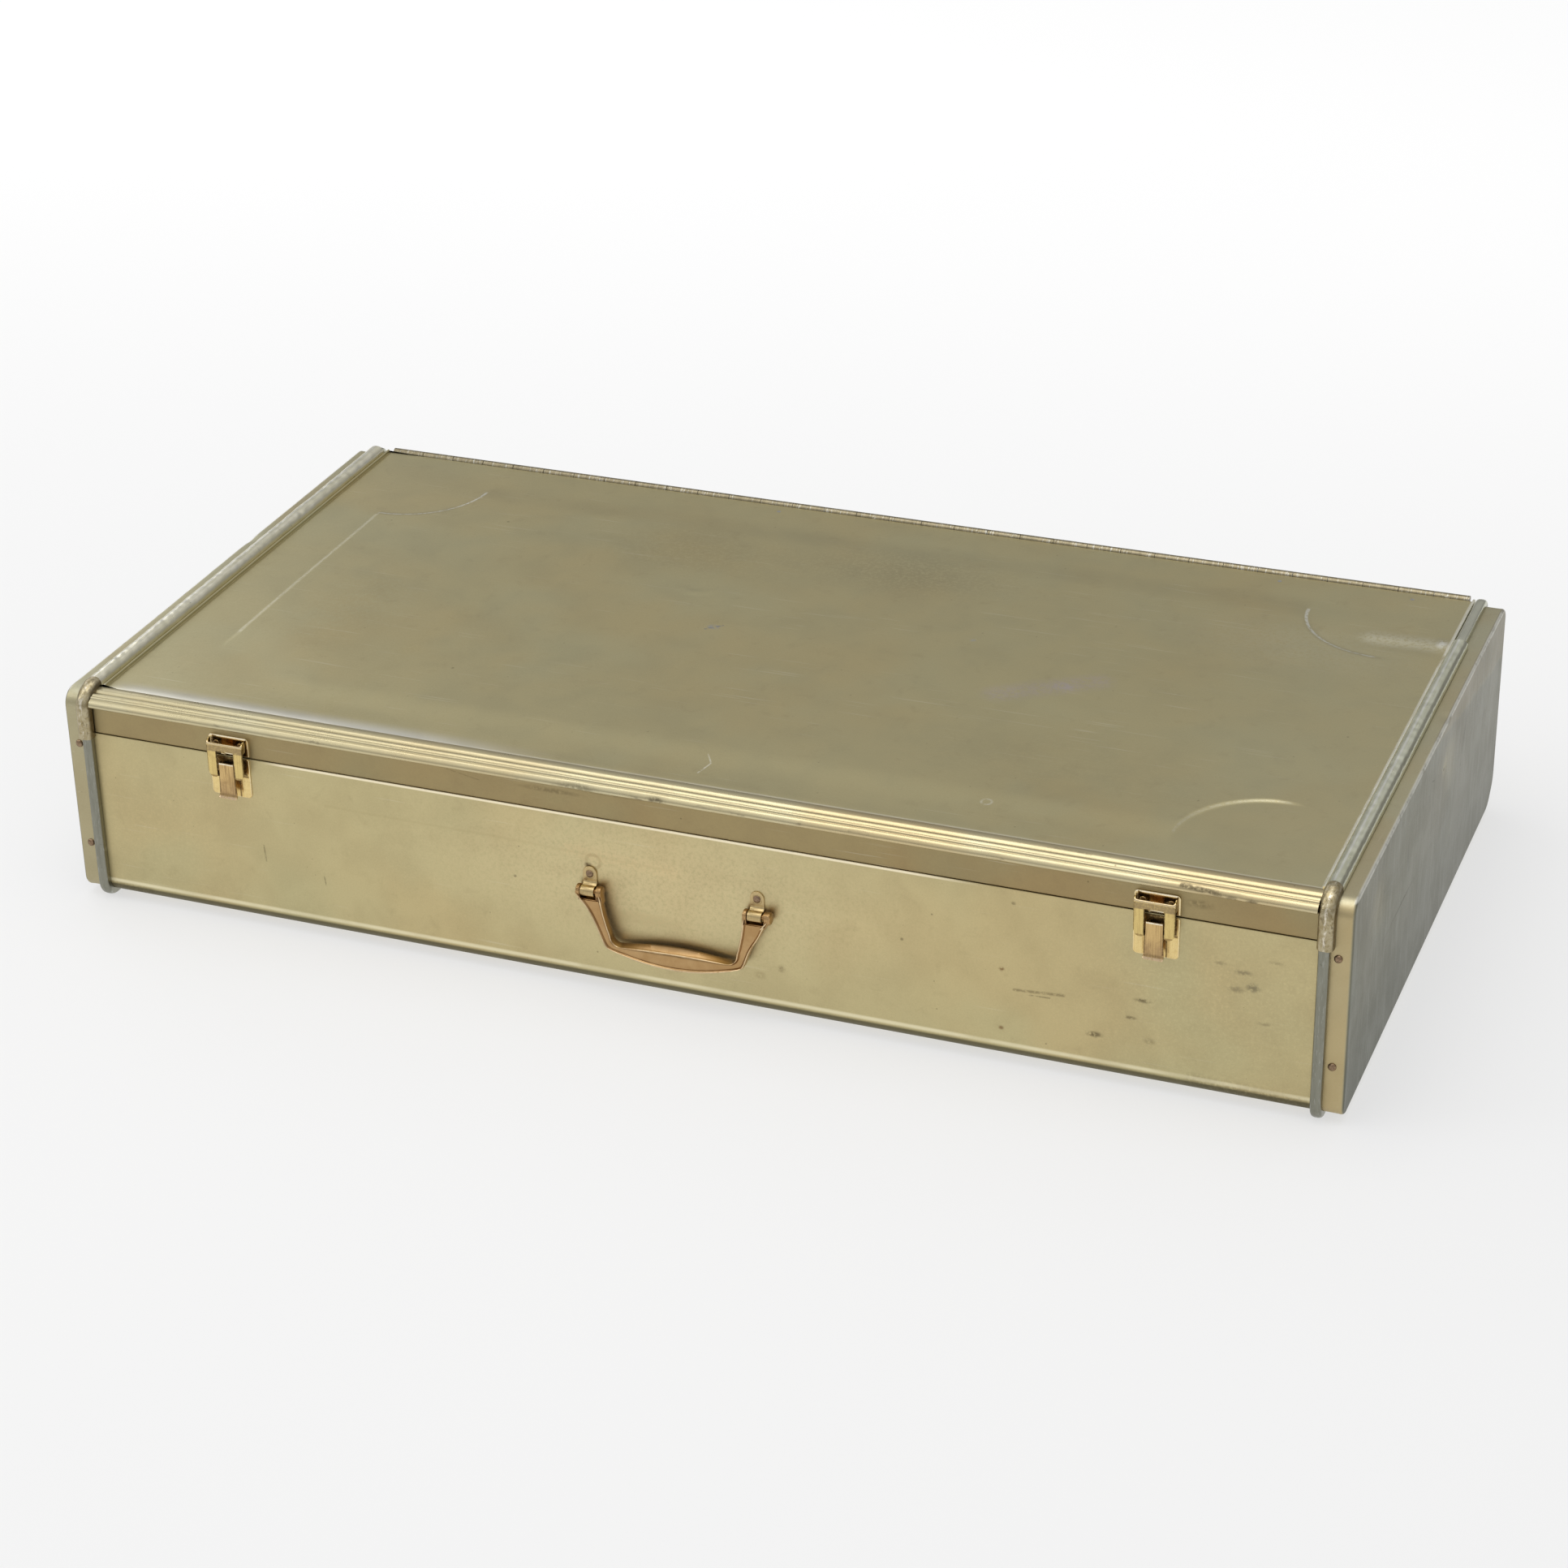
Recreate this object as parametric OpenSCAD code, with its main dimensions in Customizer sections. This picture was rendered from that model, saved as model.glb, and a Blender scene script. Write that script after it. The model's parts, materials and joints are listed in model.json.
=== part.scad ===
// Wide, flat aluminium carrying case with a hinged lid.
// Two drawn end boxes and a folded centre shell are joined by silvery
// standing rims; a lid with a ribbed front rail closes over the centre.
// All sizes in millimetres. Local frame of the construction: the front panel
// is y = 0, the bottom sheet is z = 0, x = 0 is the middle. Every part is
// moved once, by place(), so that the origin is under the middle of the case
// at the level it stands on.

/* [Case] */
// Width over the two end boxes
case_w = 842; // [780:1:900]
// Depth from front panel to back panel
case_d = 424; // [390:1:470]
// Height of the end boxes above the bottom sheet
cap_h = 144; // [134:1:170]
// Sheet thickness of panels and end boxes
sheet = 1.2; // [1.0:0.1:1.3]
// Width of each end box outside its rim, from the middle of the rim
end_w = 16.2; // [15.5:0.1:22]
// Bend radius along the lower front edge
r_front = 9; // [6:0.5:14]
// Bend radius along the lower back edge
r_back = 22; // [14:1:30]
// Corner radius at the upper front of the end boxes
r_top_front = 11; // [9:0.5:16]
// Corner radius at the upper back of the end boxes
r_top_back = 8; // [6:0.5:12]

/* [Rims] */
// Width of the standing rims
rim_w = 6.9; // [6:0.1:7.1]
// Height of the standing rims above the sheet
rim_h = 4.6; // [4:0.1:5]

/* [Lid] */
// Height of the seam between lid and body at the front
seam_z = 117.5; // [112:0.5:119]
// Depth of the front rail on top of the lid
rail_d = 14.5; // [13:0.5:18]
// Distance of the rear end of the lid's left side channel from the front
channel_end_left = 417; // [300:1:418]
// Distance of the rear end of the lid's right side channel from the front
channel_end_right = 351; // [300:1:418]
// Height of the pressed field on the lid
field_h = 0.7; // [0.3:0.1:1.0]
// Half width of the pressed field
field_x = 356; // [320:1:372]
// Radius of the scooped corners of the pressed field
field_r = 57; // [30:1:60]

/* [Handle] */
// Distance between the two handle brackets
bracket_pitch = 110.8; // [108:0.2:114]
// Height of the handle pins above the bottom sheet
handle_z = 69.4; // [66:0.2:74]
// Slope of the handle, which sits a little higher at its right end
handle_tilt = 1.4; // [0:0.1:2]
// Diameter of the handle pins
handle_pin_d = 3.6; // [3.2:0.1:3.8]

/* [Latches] */
// Distance of each latch from the middle
latch_x = 303.9; // [280:0.5:330]
// Sideways shift of the latch pair
latch_shift = 1.3; // [0:0.1:2]
// Diameter of the latch pins
latch_pin_d = 2.0; // [1.8:0.1:2.2]

/* [Hinge] */
// Length of one hinge knuckle with its gap
knuckle_pitch = 24; // [20:1:30]
// Outer diameter of the hinge knuckles
knuckle_d = 6.2; // [5.8:0.1:6.4]
// Diameter of the hinge wire
hinge_pin_d = 2.6; // [2.4:0.1:3.0]

/* [Hidden] */
$fn = 48;
t = sheet;
rim_c = case_w/2 - end_w;            // middle of the right rim
rim_i = rim_c - rim_w/2;             // its inner side
rim_o = rim_c + rim_w/2;             // its outer side
end_x = case_w/2;                    // flat end face
lid_top = cap_h - 0.5;               // top of the lid sheet
lid_under = lid_top - t;
lid_x = rim_i - 1.2;                 // side of the lid's bead
axis_y = case_d + knuckle_d/2;       // hinge axis
axis_z = lid_under;
skirt_y = 0.5;                       // outer face of the lid's front skirt
pivot_y = -4.6;                      // handle axis in front of the panel
bpx = bracket_pitch/2;
handle_x = 0.3;
// latch pivots: lever on its plate, yoke on the lever
lv_y = -3.6; lv_z = seam_z - 4.9;
yk_y = -3.1; yk_z = seam_z - 11.1;
kn_n = floor(((2*lid_x - 6)/knuckle_pitch - 1)/2)*2 + 1; // odd number of knuckles
hinge_half = kn_n*knuckle_pitch/2;
gap = 0.3;
y_mid = (axis_y + knuckle_d/2 - 9.4)/2;            // middle of the depth
cap_rivet_x = rim_o + 4.5;
cap_rivet_z = [35.2, 107.8];
cap_rivet_y = [60, 212, 364];
hinge_rivet_x = [-360, -270, -180, -90, 0, 90, 180, 270, 360];

// colours
c_gold = [0.69, 0.64, 0.46];
c_lid = [0.60, 0.57, 0.43];
c_rail = [0.80, 0.74, 0.57];
c_end = [0.52, 0.53, 0.48];
c_rim = [0.62, 0.65, 0.61];
c_brass = [0.78, 0.65, 0.38];
c_bronze = [0.66, 0.51, 0.35];
c_rivet = [0.45, 0.32, 0.25];
c_steel = [0.60, 0.60, 0.58];

// ---------- helpers ----------

// moves every part into the common frame
module place() { translate([0, -y_mid, rim_h]) children(); }

// extrudes a (y, z) outline along x from x0 to x1
module along_x(x0, x1) {
  translate([x0, 0, 0]) rotate([90, 0, 90]) linear_extrude(x1 - x0) children();
}

// the case's outline seen from the end, grown by o
module outline(o) {
  polygon([[r_front, -o], [case_d - r_back, -o], [case_d + o, r_back],
    [case_d + o, cap_h - r_top_back], [case_d - r_top_back, cap_h + o],
    [r_top_front, cap_h + o], [-o, cap_h - r_top_front], [-o, r_front]]);
  translate([r_front, r_front]) circle(r = r_front + o);
  translate([case_d - r_back, r_back]) circle(r = r_back + o);
  translate([case_d - r_top_back, cap_h - r_top_back]) circle(r = r_top_back + o);
  translate([r_top_front, cap_h - r_top_front]) circle(r = r_top_front + o);
}

// a hoop of the outline between offsets i and o, from x0 to x1
module hoop(x0, x1, i, o) {
  along_x(x0, x1) difference() { outline(o); outline(i); }
}

// a rod along x
module rod(x0, x1, y, z, r) {
  translate([x0, y, z]) rotate([0, 90, 0]) cylinder(h = x1 - x0, r = r);
}

// a rivet along +z: domed head on top of z = 0, shank down to -l, tail below
module rivet(d, head, hh, l, tail) {
  translate([0, 0, -l - tail]) cylinder(h = l + tail, d = d);
  intersection() {
    translate([0, 0, hh - (head*head/4 + hh*hh)/(2*hh)]) sphere(r = (head*head/4 + hh*hh)/(2*hh));
    cylinder(h = hh + 1, d = head);
  }
  if (tail > 0) translate([0, 0, -l - tail]) cylinder(h = tail, d = head*0.8);
}

module mirror_if(m) { if (m) mirror([1, 0, 0]) children(); else children(); }

// puts handle parts at the handle's place and slope
module at_handle() {
  translate([handle_x, pivot_y, handle_z]) rotate([0, -handle_tilt, 0]) children();
}

// ---------- body ----------

module shell_holes() {
  // handle rivets
  at_handle() for (s = [-1, 1]) translate([s*bpx, -5, 10]) rotate([-90, 0, 0]) cylinder(h = 16, d = 3.2);
  // latch plate rivets
  for (s = [-1, 1]) for (z = [seam_z - 23.5, seam_z - 16.5])
    translate([s*latch_x + latch_shift, -3, z]) rotate([-90, 0, 0]) cylinder(h = 8, d = 2.4);
  // hinge rivets
  for (x = hinge_rivet_x) translate([x, case_d - 4, axis_z - 15]) rotate([-90, 0, 0]) cylinder(h = 8, d = 2.8);
}

module body_shell() color(c_gold) place() difference() {
  along_x(-rim_c + 0.9, rim_c - 0.9) difference() {
    outline(0);
    outline(-t);
    translate([-20, seam_z - 0.2]) square([220, 80]);
    translate([180, axis_z - 1.9]) square([300, 80]);
  }
  shell_holes();
}

module cap_rivet_holes() {
  for (z = cap_rivet_z) translate([cap_rivet_x, -10, z]) rotate([-90, 0, 0]) cylinder(h = case_d + 20, d = 3.2);
  for (y = cap_rivet_y) translate([cap_rivet_x, y, -10]) cylinder(h = 20, d = 3.2);
}

module end_cap() difference() {
  union() {
    along_x(rim_c + 0.6, end_x - 1.4) outline(0);
    along_x(end_x - 1.5, end_x - 0.8) outline(-0.3);
    along_x(end_x - 0.9, end_x - 0.3) outline(-0.7);
    along_x(end_x - 0.4, end_x) outline(-1.3);
  }
  along_x(rim_c + 0.5, end_x - t - 1.4) outline(-t);
  along_x(rim_c + 0.5, end_x - t) outline(-t - 1.2);
  cap_rivet_holes();
}
module end_cap_right() color(c_end) place() end_cap();
module end_cap_left() color(c_end) place() mirror([1, 0, 0]) end_cap();

// rim: bead outside, web between shell and end box, flanges behind the sheets
module rim() difference() {
  union() {
    hoop(rim_i, rim_o, 0, rim_h - 1.2);
    hoop(rim_i + 0.6, rim_o - 0.6, 0, rim_h - 0.4);
    hoop(rim_i + 1.4, rim_o - 1.4, 0, rim_h);
    hoop(rim_c - 0.8, rim_c + 0.5, -4.2, 0.1);
    difference() {
      hoop(rim_c - 8.4, rim_c + 12, -t - 1.4, -t - 0.1);
      // the lid side of the upper run stays open
      translate([rim_c - 9, -5, seam_z - 2]) cube([8.3, case_d + 10, 60]);
    }
    // ledge under the side of the lid
    translate([rim_c - 10.8, 24, lid_under - 2.4]) cube([10.1, 376, 1.8]);
  }
  cap_rivet_holes();
}
module rim_right() color(c_rim) place() rim();
module rim_left() color(c_rim) place() mirror([1, 0, 0]) rim();

// strip behind the front panel that stands up behind the lid's skirt
module front_tongue() color(c_end) place() difference() {
  along_x(-rim_c + 9.8, rim_c - 9.8)
    polygon([[t, seam_z - 20], [t + 1.2, seam_z - 20], [t + 1.2, seam_z - 1.9], [t + 2.1, seam_z - 0.9],
      [t + 2.1, seam_z + 5], [t + 0.9, seam_z + 5], [t + 0.9, seam_z], [t, seam_z - 0.2]]);
  shell_holes();
}

module end_cap_rivets() {
  for (z = cap_rivet_z) {
    translate([cap_rivet_x, 0, z]) rotate([90, 0, 0]) rivet(3.2, 5.2, 1.3, t + 1.4, 0.9);
    translate([cap_rivet_x, case_d, z]) rotate([-90, 0, 0]) rivet(3.2, 5.2, 1.3, t + 1.4, 0.9);
  }
  for (y = cap_rivet_y) translate([cap_rivet_x, y, 0]) rotate([180, 0, 0]) rivet(3.2, 5.2, 1.3, t + 1.4, 0.9);
}
module end_cap_rivets_right() color(c_rivet) place() end_cap_rivets();
module end_cap_rivets_left() color(c_rivet) place() mirror([1, 0, 0]) end_cap_rivets();

// ---------- hinge ----------

function kn_x0(i) = -hinge_half + i*knuckle_pitch;

// knuckles number i = first, first+2, ...
module knuckles(first) {
  for (i = [first : 2 : kn_n - 1])
    rod(kn_x0(i) + 0.2, kn_x0(i) + knuckle_pitch - 0.2, axis_y, axis_z, knuckle_d/2);
}

module hinge_leaf_body() color(c_end) place() difference() {
  union() {
    translate([-hinge_half, case_d, axis_z - 24]) cube([2*hinge_half, t, 21]);
    knuckles(0);
    for (i = [0 : 2 : kn_n - 1])
      translate([kn_x0(i) + 0.2, case_d, axis_z - 3.5]) cube([knuckle_pitch - 0.4, 1.5, 3.5]);
  }
  rod(-hinge_half - 1, hinge_half + 1, axis_y, axis_z, hinge_pin_d/2);
  for (x = hinge_rivet_x) translate([x, case_d - 4, axis_z - 15]) rotate([-90, 0, 0]) cylinder(h = 8, d = 2.8);
}

module lid_hinge_holes() {
  for (x = hinge_rivet_x) translate([x, case_d - 10, lid_under - 4]) cylinder(h = 8, d = 2.8);
}

module hinge_leaf_lid() color(c_end) place() difference() {
  union() {
    translate([-hinge_half, case_d - 18, lid_under - t]) cube([2*hinge_half, 17.4, t]);
    knuckles(1);
    for (i = [1 : 2 : kn_n - 1])
      translate([kn_x0(i) + 0.2, case_d - 1, lid_under - t]) cube([knuckle_pitch - 0.4, 3.1, t]);
  }
  rod(-hinge_half - 1, hinge_half + 1, axis_y, axis_z, hinge_pin_d/2 + 0.05);
  lid_hinge_holes();
}

module hinge_pin() color(c_steel) place() rod(-hinge_half, hinge_half, axis_y, axis_z, hinge_pin_d/2);

module hinge_rivets_body() color(c_steel) place()
  for (x = hinge_rivet_x) translate([x, case_d + t, axis_z - 15]) rotate([-90, 0, 0]) rivet(2.8, 4.8, 0.8, 2*t, 0.8);

module hinge_rivets_lid() color(c_steel) place()
  for (x = hinge_rivet_x) translate([x, case_d - 10, lid_top]) rotate([0, 0, 0]) {
    translate([0, 0, -2*t]) cylinder(h = 2*t, d = 2.8);
    translate([0, 0, -2*t - 0.8]) cylinder(h = 0.8, d = 4.4);
  }

// ---------- handle ----------

// bracket: tab against the panel, rolled round the pin at its lower end
module handle_bracket(s) at_handle() difference() {
  union() {
    translate([s*bpx - 4.6, -pivot_y - t, 0]) cube([9.2, t, 10.5]);
    translate([s*bpx, -pivot_y - t, 10.5]) rotate([-90, 0, 0]) cylinder(h = t, r = 4.6);
    rod(s*bpx - 4.6, s*bpx + 4.6, 0, 0, 3.5);
    translate([s*bpx - 4.6, 0.6, 0]) cube([9.2, -pivot_y - 0.6, 3.4]);
  }
  rod(s*bpx - 5, s*bpx + 5, 0, 0, handle_pin_d/2 + 0.05);
  translate([s*bpx, -5, 10]) rotate([-90, 0, 0]) cylinder(h = 12, d = 3.2);
}
module handle_bracket_left() color(c_brass) place() handle_bracket(-1);
module handle_bracket_right() color(c_brass) place() handle_bracket(1);

module handle_rivets() color(c_rivet) place() at_handle()
  for (s = [-1, 1]) translate([s*bpx, -pivot_y - t, 10]) rotate([90, 0, 0]) rivet(3.2, 5.0, 1.0, 2*t + 1.5, 1.0);

module handle_backplate() color(c_steel) place() difference() {
  translate([handle_x - 70, t, handle_z + 1]) cube([140, 1.5, 18]);
  shell_holes();
}

// half outline of the handle, i = inset from the edge (x, z from the pin line)
function arc_z(x, i) = -(45.4 - i) + (121 - sqrt(121*121 - x*x));
function h_outer(i) = concat(
  [for (k = [0 : 8]) let (x = k*(45.4 - i)/8) [x, arc_z(x, i)]],
  [[50 - i*1.05, -25.4], [54.9 - i*1.1, -13.2], [61.2 - i*1.3, -4.2 - i*0.2], [65.2 - i, 0.6 - i*0.3]]);
function h_inner(i) = concat(
  [[47.4 + i, 1], [45.3 + i, -13.6], [42.8 + i, -24]],
  [for (k = [0 : 6]) let (a = k*15) [35.6 + (6 + i)*cos(a), -28.2 - (6.2 + i)*sin(a)]],
  [for (k = [1 : 5]) let (x = 35.6 - k*35.6/5) [x, -33.2 - i - 1.2*x*x/1267]]);
function mir(p) = [for (k = [len(p) - 1 : -1 : 0]) [-p[k][0], p[k][1]]];

module handle_face(i) {
  // a ring open at the top: outer edge one way, inner edge back
  o = h_outer(i);
  n = h_inner(i);
  polygon(concat(o, n, mir(n), mir(o)));
}

module handle() color(c_bronze) place() at_handle() difference() {
  union() {
    // body of the casting
    translate([0, 2.0, 0]) rotate([90, 0, 0]) linear_extrude(6.2) handle_face(0);
    // raised border along both edges of the front face
    translate([0, -4.0, 0]) rotate([90, 0, 0]) linear_extrude(0.8) difference() { handle_face(0); handle_face(1.5); }
    // eyes beside the bracket barrels
    for (s = [-1, 1]) mirror_if(s < 0) {
      rod(47.2, bpx - 4.9, 0, 0, 4.1);
      rod(bpx + 4.9, 65.2, 0, 0, 4.1);
    }
  }
  for (s = [-1, 1]) mirror_if(s < 0) {
    // room for the bracket barrel
    rod(bpx - 4.9, bpx + 4.9, 0, 0, 4.1);
    translate([bpx - 4.9, -9, 0]) cube([9.8, 18, 9]);
    translate([bpx - 4.9, -9, -4.1]) cube([9.8, 9, 9]);
    // blind pin hole, open at the inner end
    rod(46, 63, 0, 0, handle_pin_d/2);
  }
}

module handle_pin_left() color(c_bronze) place() at_handle() rod(-63, -47.2, 0, 0, handle_pin_d/2);
module handle_pin_right() color(c_bronze) place() at_handle() rod(47.2, 63, 0, 0, handle_pin_d/2);

// ---------- latches (x measured from the middle of the latch) ----------

module at_latch(s) translate([s*latch_x + latch_shift, 0, 0]) children();

module latch_base() difference() {
  union() {
    translate([-14, -1.0, seam_z - 25.2]) cube([28, 1.0, 24.5]);
    translate([-11, -1.0, seam_z - 28.2]) cube([22, 1.0, 4]);
    for (s = [-1, 1]) translate([s*11, -1.0, seam_z - 25.2]) rotate([-90, 0, 0]) cylinder(h = 1.0, r = 3);
    // two ears that carry the lever pin
    for (s = [-1, 1]) mirror_if(s < 0) {
      translate([3.2, lv_y, lv_z - 1.4]) cube([1.0, -lv_y - 0.9, 2.3]);
      translate([3.2, lv_y + 1.4, lv_z - 2.2]) cube([1.0, -lv_y - 2.3, 3.1]);
      rod(3.2, 4.2, lv_y, lv_z, 1.4);
    }
  }
  rod(-6, 6, lv_y, lv_z, latch_pin_d/2);
  for (z = [seam_z - 23.5, seam_z - 16.5]) translate([0, -3, z]) rotate([-90, 0, 0]) cylinder(h = 8, d = 2.4);
}
module latch_base_left() color(c_brass) place() at_latch(-1) latch_base();
module latch_base_right() color(c_brass) place() at_latch(1) latch_base();

module latch_lever() difference() {
  union() {
    // front face, a little wider at the bottom
    translate([0, -5.1, 0]) rotate([90, 0, 0]) linear_extrude(0.9)
      polygon([[-5.4, seam_z - 3.1], [5.4, seam_z - 3.1], [5.4, seam_z - 15], [6.2, seam_z - 25.6], [-6.2, seam_z - 25.6], [-5.4, seam_z - 15]]);
    // finger lip turned outwards at the lower end
    along_x(-6.2, 6.2) polygon([[-5.1, seam_z - 24.6], [-6.0, seam_z - 25.2], [-7.3, seam_z - 26.4], [-7.6, seam_z - 27.2],
      [-6.9, seam_z - 27.5], [-5.7, seam_z - 26.6], [-5.1, seam_z - 25.8]]);
    // side flanges with the two pivots
    for (s = [-1, 1]) mirror_if(s < 0) {
      along_x(4.5, 5.4) polygon([[-5.2, seam_z - 3.2], [-4.6, seam_z - 3.1], [lv_y, lv_z + 1.7], [lv_y + 2.0, lv_z - 0.4], [yk_y + 1.8, yk_z + 0.4], [yk_y + 0.6, yk_z - 1.8], [-5.2, seam_z - 19]]);
      rod(4.5, 5.4, lv_y, lv_z, 2.0);
      rod(4.5, 5.4, yk_y, yk_z, 1.8);
    }
  }
  rod(-6, 6, lv_y, lv_z, latch_pin_d/2 + 0.05);
  rod(-6, 6, yk_y, yk_z, latch_pin_d/2);
}
module latch_lever_left() color(c_brass) place() at_latch(-1) latch_lever();
module latch_lever_right() color(c_brass) place() at_latch(1) latch_lever();

module latch_lever_pin_left() color(c_rivet) place() at_latch(-1) rod(-5.3, 5.3, lv_y, lv_z, latch_pin_d/2);
module latch_lever_pin_right() color(c_rivet) place() at_latch(1) rod(-5.3, 5.3, lv_y, lv_z, latch_pin_d/2);

module latch_yoke() difference() {
  union() {
    // front plate: two arms and a cross bar
    translate([0, -5.5, 0]) rotate([90, 0, 0]) linear_extrude(0.9) difference() {
      union() {
        translate([-12.6, seam_z - 9]) square([25.2, 19.3]);
        for (s = [-1, 1]) polygon([[s*5.9, seam_z - 8.9], [s*12.6, seam_z - 8.9], [s*11.6, seam_z - 12], [s*9.6, seam_z - 13.4], [s*7.2, seam_z - 13.4], [s*5.9, seam_z - 12.4]]);
      }
      translate([-5.9, seam_z - 15]) square([11.8, 20.3]);
    }
    // rolled upper edge of the cross bar
    rod(-12.6, 12.6, -6.1, seam_z + 10.2, 0.8);
    // cheeks that run back beside the keeper
    for (s = [-1, 1]) mirror_if(s < 0) along_x(11.7, 12.6)
      polygon([[-5.6, seam_z + 4.5], [-2.2, seam_z + 5.5], [-1.8, seam_z + 12.6], [-3.4, seam_z + 13.2], [-5.2, seam_z + 12.0], [-6.1, seam_z + 10.4]]);
    // hook tab behind the cross bar
    translate([-4.6, -5.6, seam_z + 5.3]) cube([9.2, 2.6, 0.9]);
    // inner flanges that turn on the lever's pin
    for (s = [-1, 1]) mirror_if(s < 0) {
      translate([5.9, -5.6, yk_z - 1.8]) cube([0.9, 5.6 + yk_y, 3.6]);
      rod(5.9, 6.8, yk_y, yk_z, 1.8);
    }
  }
  rod(-8, 8, yk_y, yk_z, latch_pin_d/2 + 0.05);
}
module latch_yoke_left() color(c_brass) place() at_latch(-1) latch_yoke();
module latch_yoke_right() color(c_brass) place() at_latch(1) latch_yoke();

module latch_yoke_pin_left() color(c_rivet) place() at_latch(-1) rod(-7.3, 7.3, yk_y, yk_z, latch_pin_d/2);
module latch_yoke_pin_right() color(c_rivet) place() at_latch(1) rod(-7.3, 7.3, yk_y, yk_z, latch_pin_d/2);

module latch_keeper() difference() {
  union() {
    translate([-14, skirt_y - 1, seam_z + 1.2]) cube([28, 1.0, 10.4]);
    translate([-11.5, skirt_y - 1, seam_z + 1.2]) cube([23, 1.0, 12.9]);
    for (s = [-1, 1]) translate([s*11.5, skirt_y - 1, seam_z + 11.6]) rotate([-90, 0, 0]) cylinder(h = 1.0, r = 2.5);
    // catch under the yoke's hook tab
    along_x(-5, 5) polygon([[skirt_y - 1, seam_z + 1.3], [skirt_y - 2.2, seam_z + 1.3], [skirt_y - 2.8, seam_z + 2.1], [skirt_y - 2.9, seam_z + 4.4], [skirt_y - 2.1, seam_z + 4.6], [skirt_y - 1, seam_z + 3.6]]);
  }
  for (s = [-1, 1]) translate([s*8.5, -3, seam_z + 8.2]) rotate([-90, 0, 0]) cylinder(h = 8, d = 2.4);
}
module latch_keeper_left() color(c_brass) place() at_latch(-1) latch_keeper();
module latch_keeper_right() color(c_brass) place() at_latch(1) latch_keeper();

module latch_rivets_body() color(c_brass) place() for (s = [-1, 1]) at_latch(s)
  {
    translate([0, -1, seam_z - 23.5]) rotate([90, 0, 0]) rivet(2.4, 4.2, 0.7, 1 + t, 0.8);
    // the upper one also holds the tongue strip
    translate([0, -1, seam_z - 16.5]) rotate([90, 0, 0]) rivet(2.4, 4.2, 0.7, 2.2 + t, 0.8);
  }

module latch_rivets_lid() color(c_brass) place() for (s = [-1, 1]) at_latch(s)
  for (q = [-1, 1]) translate([q*8.5, skirt_y - 1, seam_z + 8.2]) rotate([90, 0, 0]) rivet(2.4, 4.0, 0.5, 1 + t, 0.8);

// ---------- lid ----------

// pressed field with scooped corners, in plan
module field_plan() difference() {
  translate([-field_x, 52]) square([2*field_x, 326]);
  for (sx = [-1, 1]) for (y = [52, 378]) translate([sx*field_x, y]) circle(r = field_r);
}

module lid_panel() color(c_lid) place() difference() {
  union() {
    translate([-lid_x, rail_d, lid_under]) cube([2*lid_x, case_d - 0.6 - rail_d, t]);
    // beads along both sides
    for (s = [-1, 1]) mirror_if(s < 0) {
      translate([lid_x - 1.8, rail_d, lid_under]) cube([1.8, case_d - 0.6 - rail_d, t + 1.1]);
      translate([lid_x - 0.9, rail_d, lid_top + 1.0]) rotate([-90, 0, 0]) cylinder(h = case_d - 0.6 - rail_d, r = 0.9);
    }
    translate([0, 0, lid_top]) linear_extrude(field_h) field_plan();
  }
  lid_hinge_holes();
}

// ribbed rail along the front of the lid, bulging over the skirt
module front_rail() color(c_rail) place() along_x(-lid_x, lid_x)
  polygon([[rail_d, lid_under], [rail_d, lid_top + 0.1], [13.2, lid_top + 0.8], [10.2, lid_top + 1.2], [7.2, lid_top + 0.8], [6.2, lid_top + 0.2],
    [5.6, lid_top - 0.3], [5.0, lid_top + 0.2], [3.2, lid_top + 0.6], [1.5, lid_top + 0.1], [0.9, lid_top - 0.4], [0.4, lid_top - 0.1],
    [-0.3, lid_top - 0.4], [-0.8, lid_top - 1.0], [-0.7, lid_top - 1.5], [-1.7, lid_top - 1.6], [-3.2, lid_top - 2.5], [-4.2, lid_top - 3.9],
    [-4.5, lid_top - 5.1], [-4.2, lid_top - 6.1], [-3.2, lid_top - 6.7], [-1.5, lid_top - 6.8], [skirt_y, lid_top - 6.8],
    [skirt_y, lid_top - 4.4], [skirt_y + t, lid_top - 4.4], [skirt_y + t, lid_top - 3.0], [3.6, lid_under - 0.1],
    [rail_d, lid_under - t], [rail_d + 8, lid_under - t], [rail_d + 8, lid_under]]);

module lid_skirt() color(c_lid) place() difference() {
  translate([-lid_x, skirt_y, seam_z + 0.1]) cube([2*lid_x, t, lid_top - 4.5 - seam_z]);
  for (s = [-1, 1]) for (q = [-1, 1])
    translate([s*latch_x + latch_shift + q*8.5, -3, seam_z + 8.2]) rotate([-90, 0, 0]) cylinder(h = 8, d = 2.4);
}

ch_i = lid_x;             // channel over the rim: its two sides
ch_o = rim_o + 2.3;
ch_t = cap_h + rim_h + 1.5; // its top

module channel_plan() difference() {
  // (x, z) section: round-topped channel
  union() {
    translate([ch_i, lid_under]) square([ch_o - ch_i, ch_t - 3 - lid_under]);
    translate([ch_i + 3, lid_under]) square([ch_o - ch_i - 6, ch_t - lid_under]);
    translate([ch_i + 3, ch_t - 3]) circle(r = 3);
    translate([ch_o - 3, ch_t - 3]) circle(r = 3);
  }
  union() {
    translate([ch_i + 0.9, lid_under - 5]) square([ch_o - ch_i - 1.8, ch_t - 3 - lid_under + 5]);
    translate([ch_i + 3, lid_under - 5]) square([ch_o - ch_i - 6, ch_t - 1 - lid_under + 5]);
    translate([ch_i + 3, ch_t - 3]) circle(r = 2.05);
    translate([ch_o - 3, ch_t - 3]) circle(r = 2.05);
  }
  // outer wall stops above the end box
  translate([ch_i + 4, 0]) square([20, cap_h + 0.35]);
}

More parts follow.
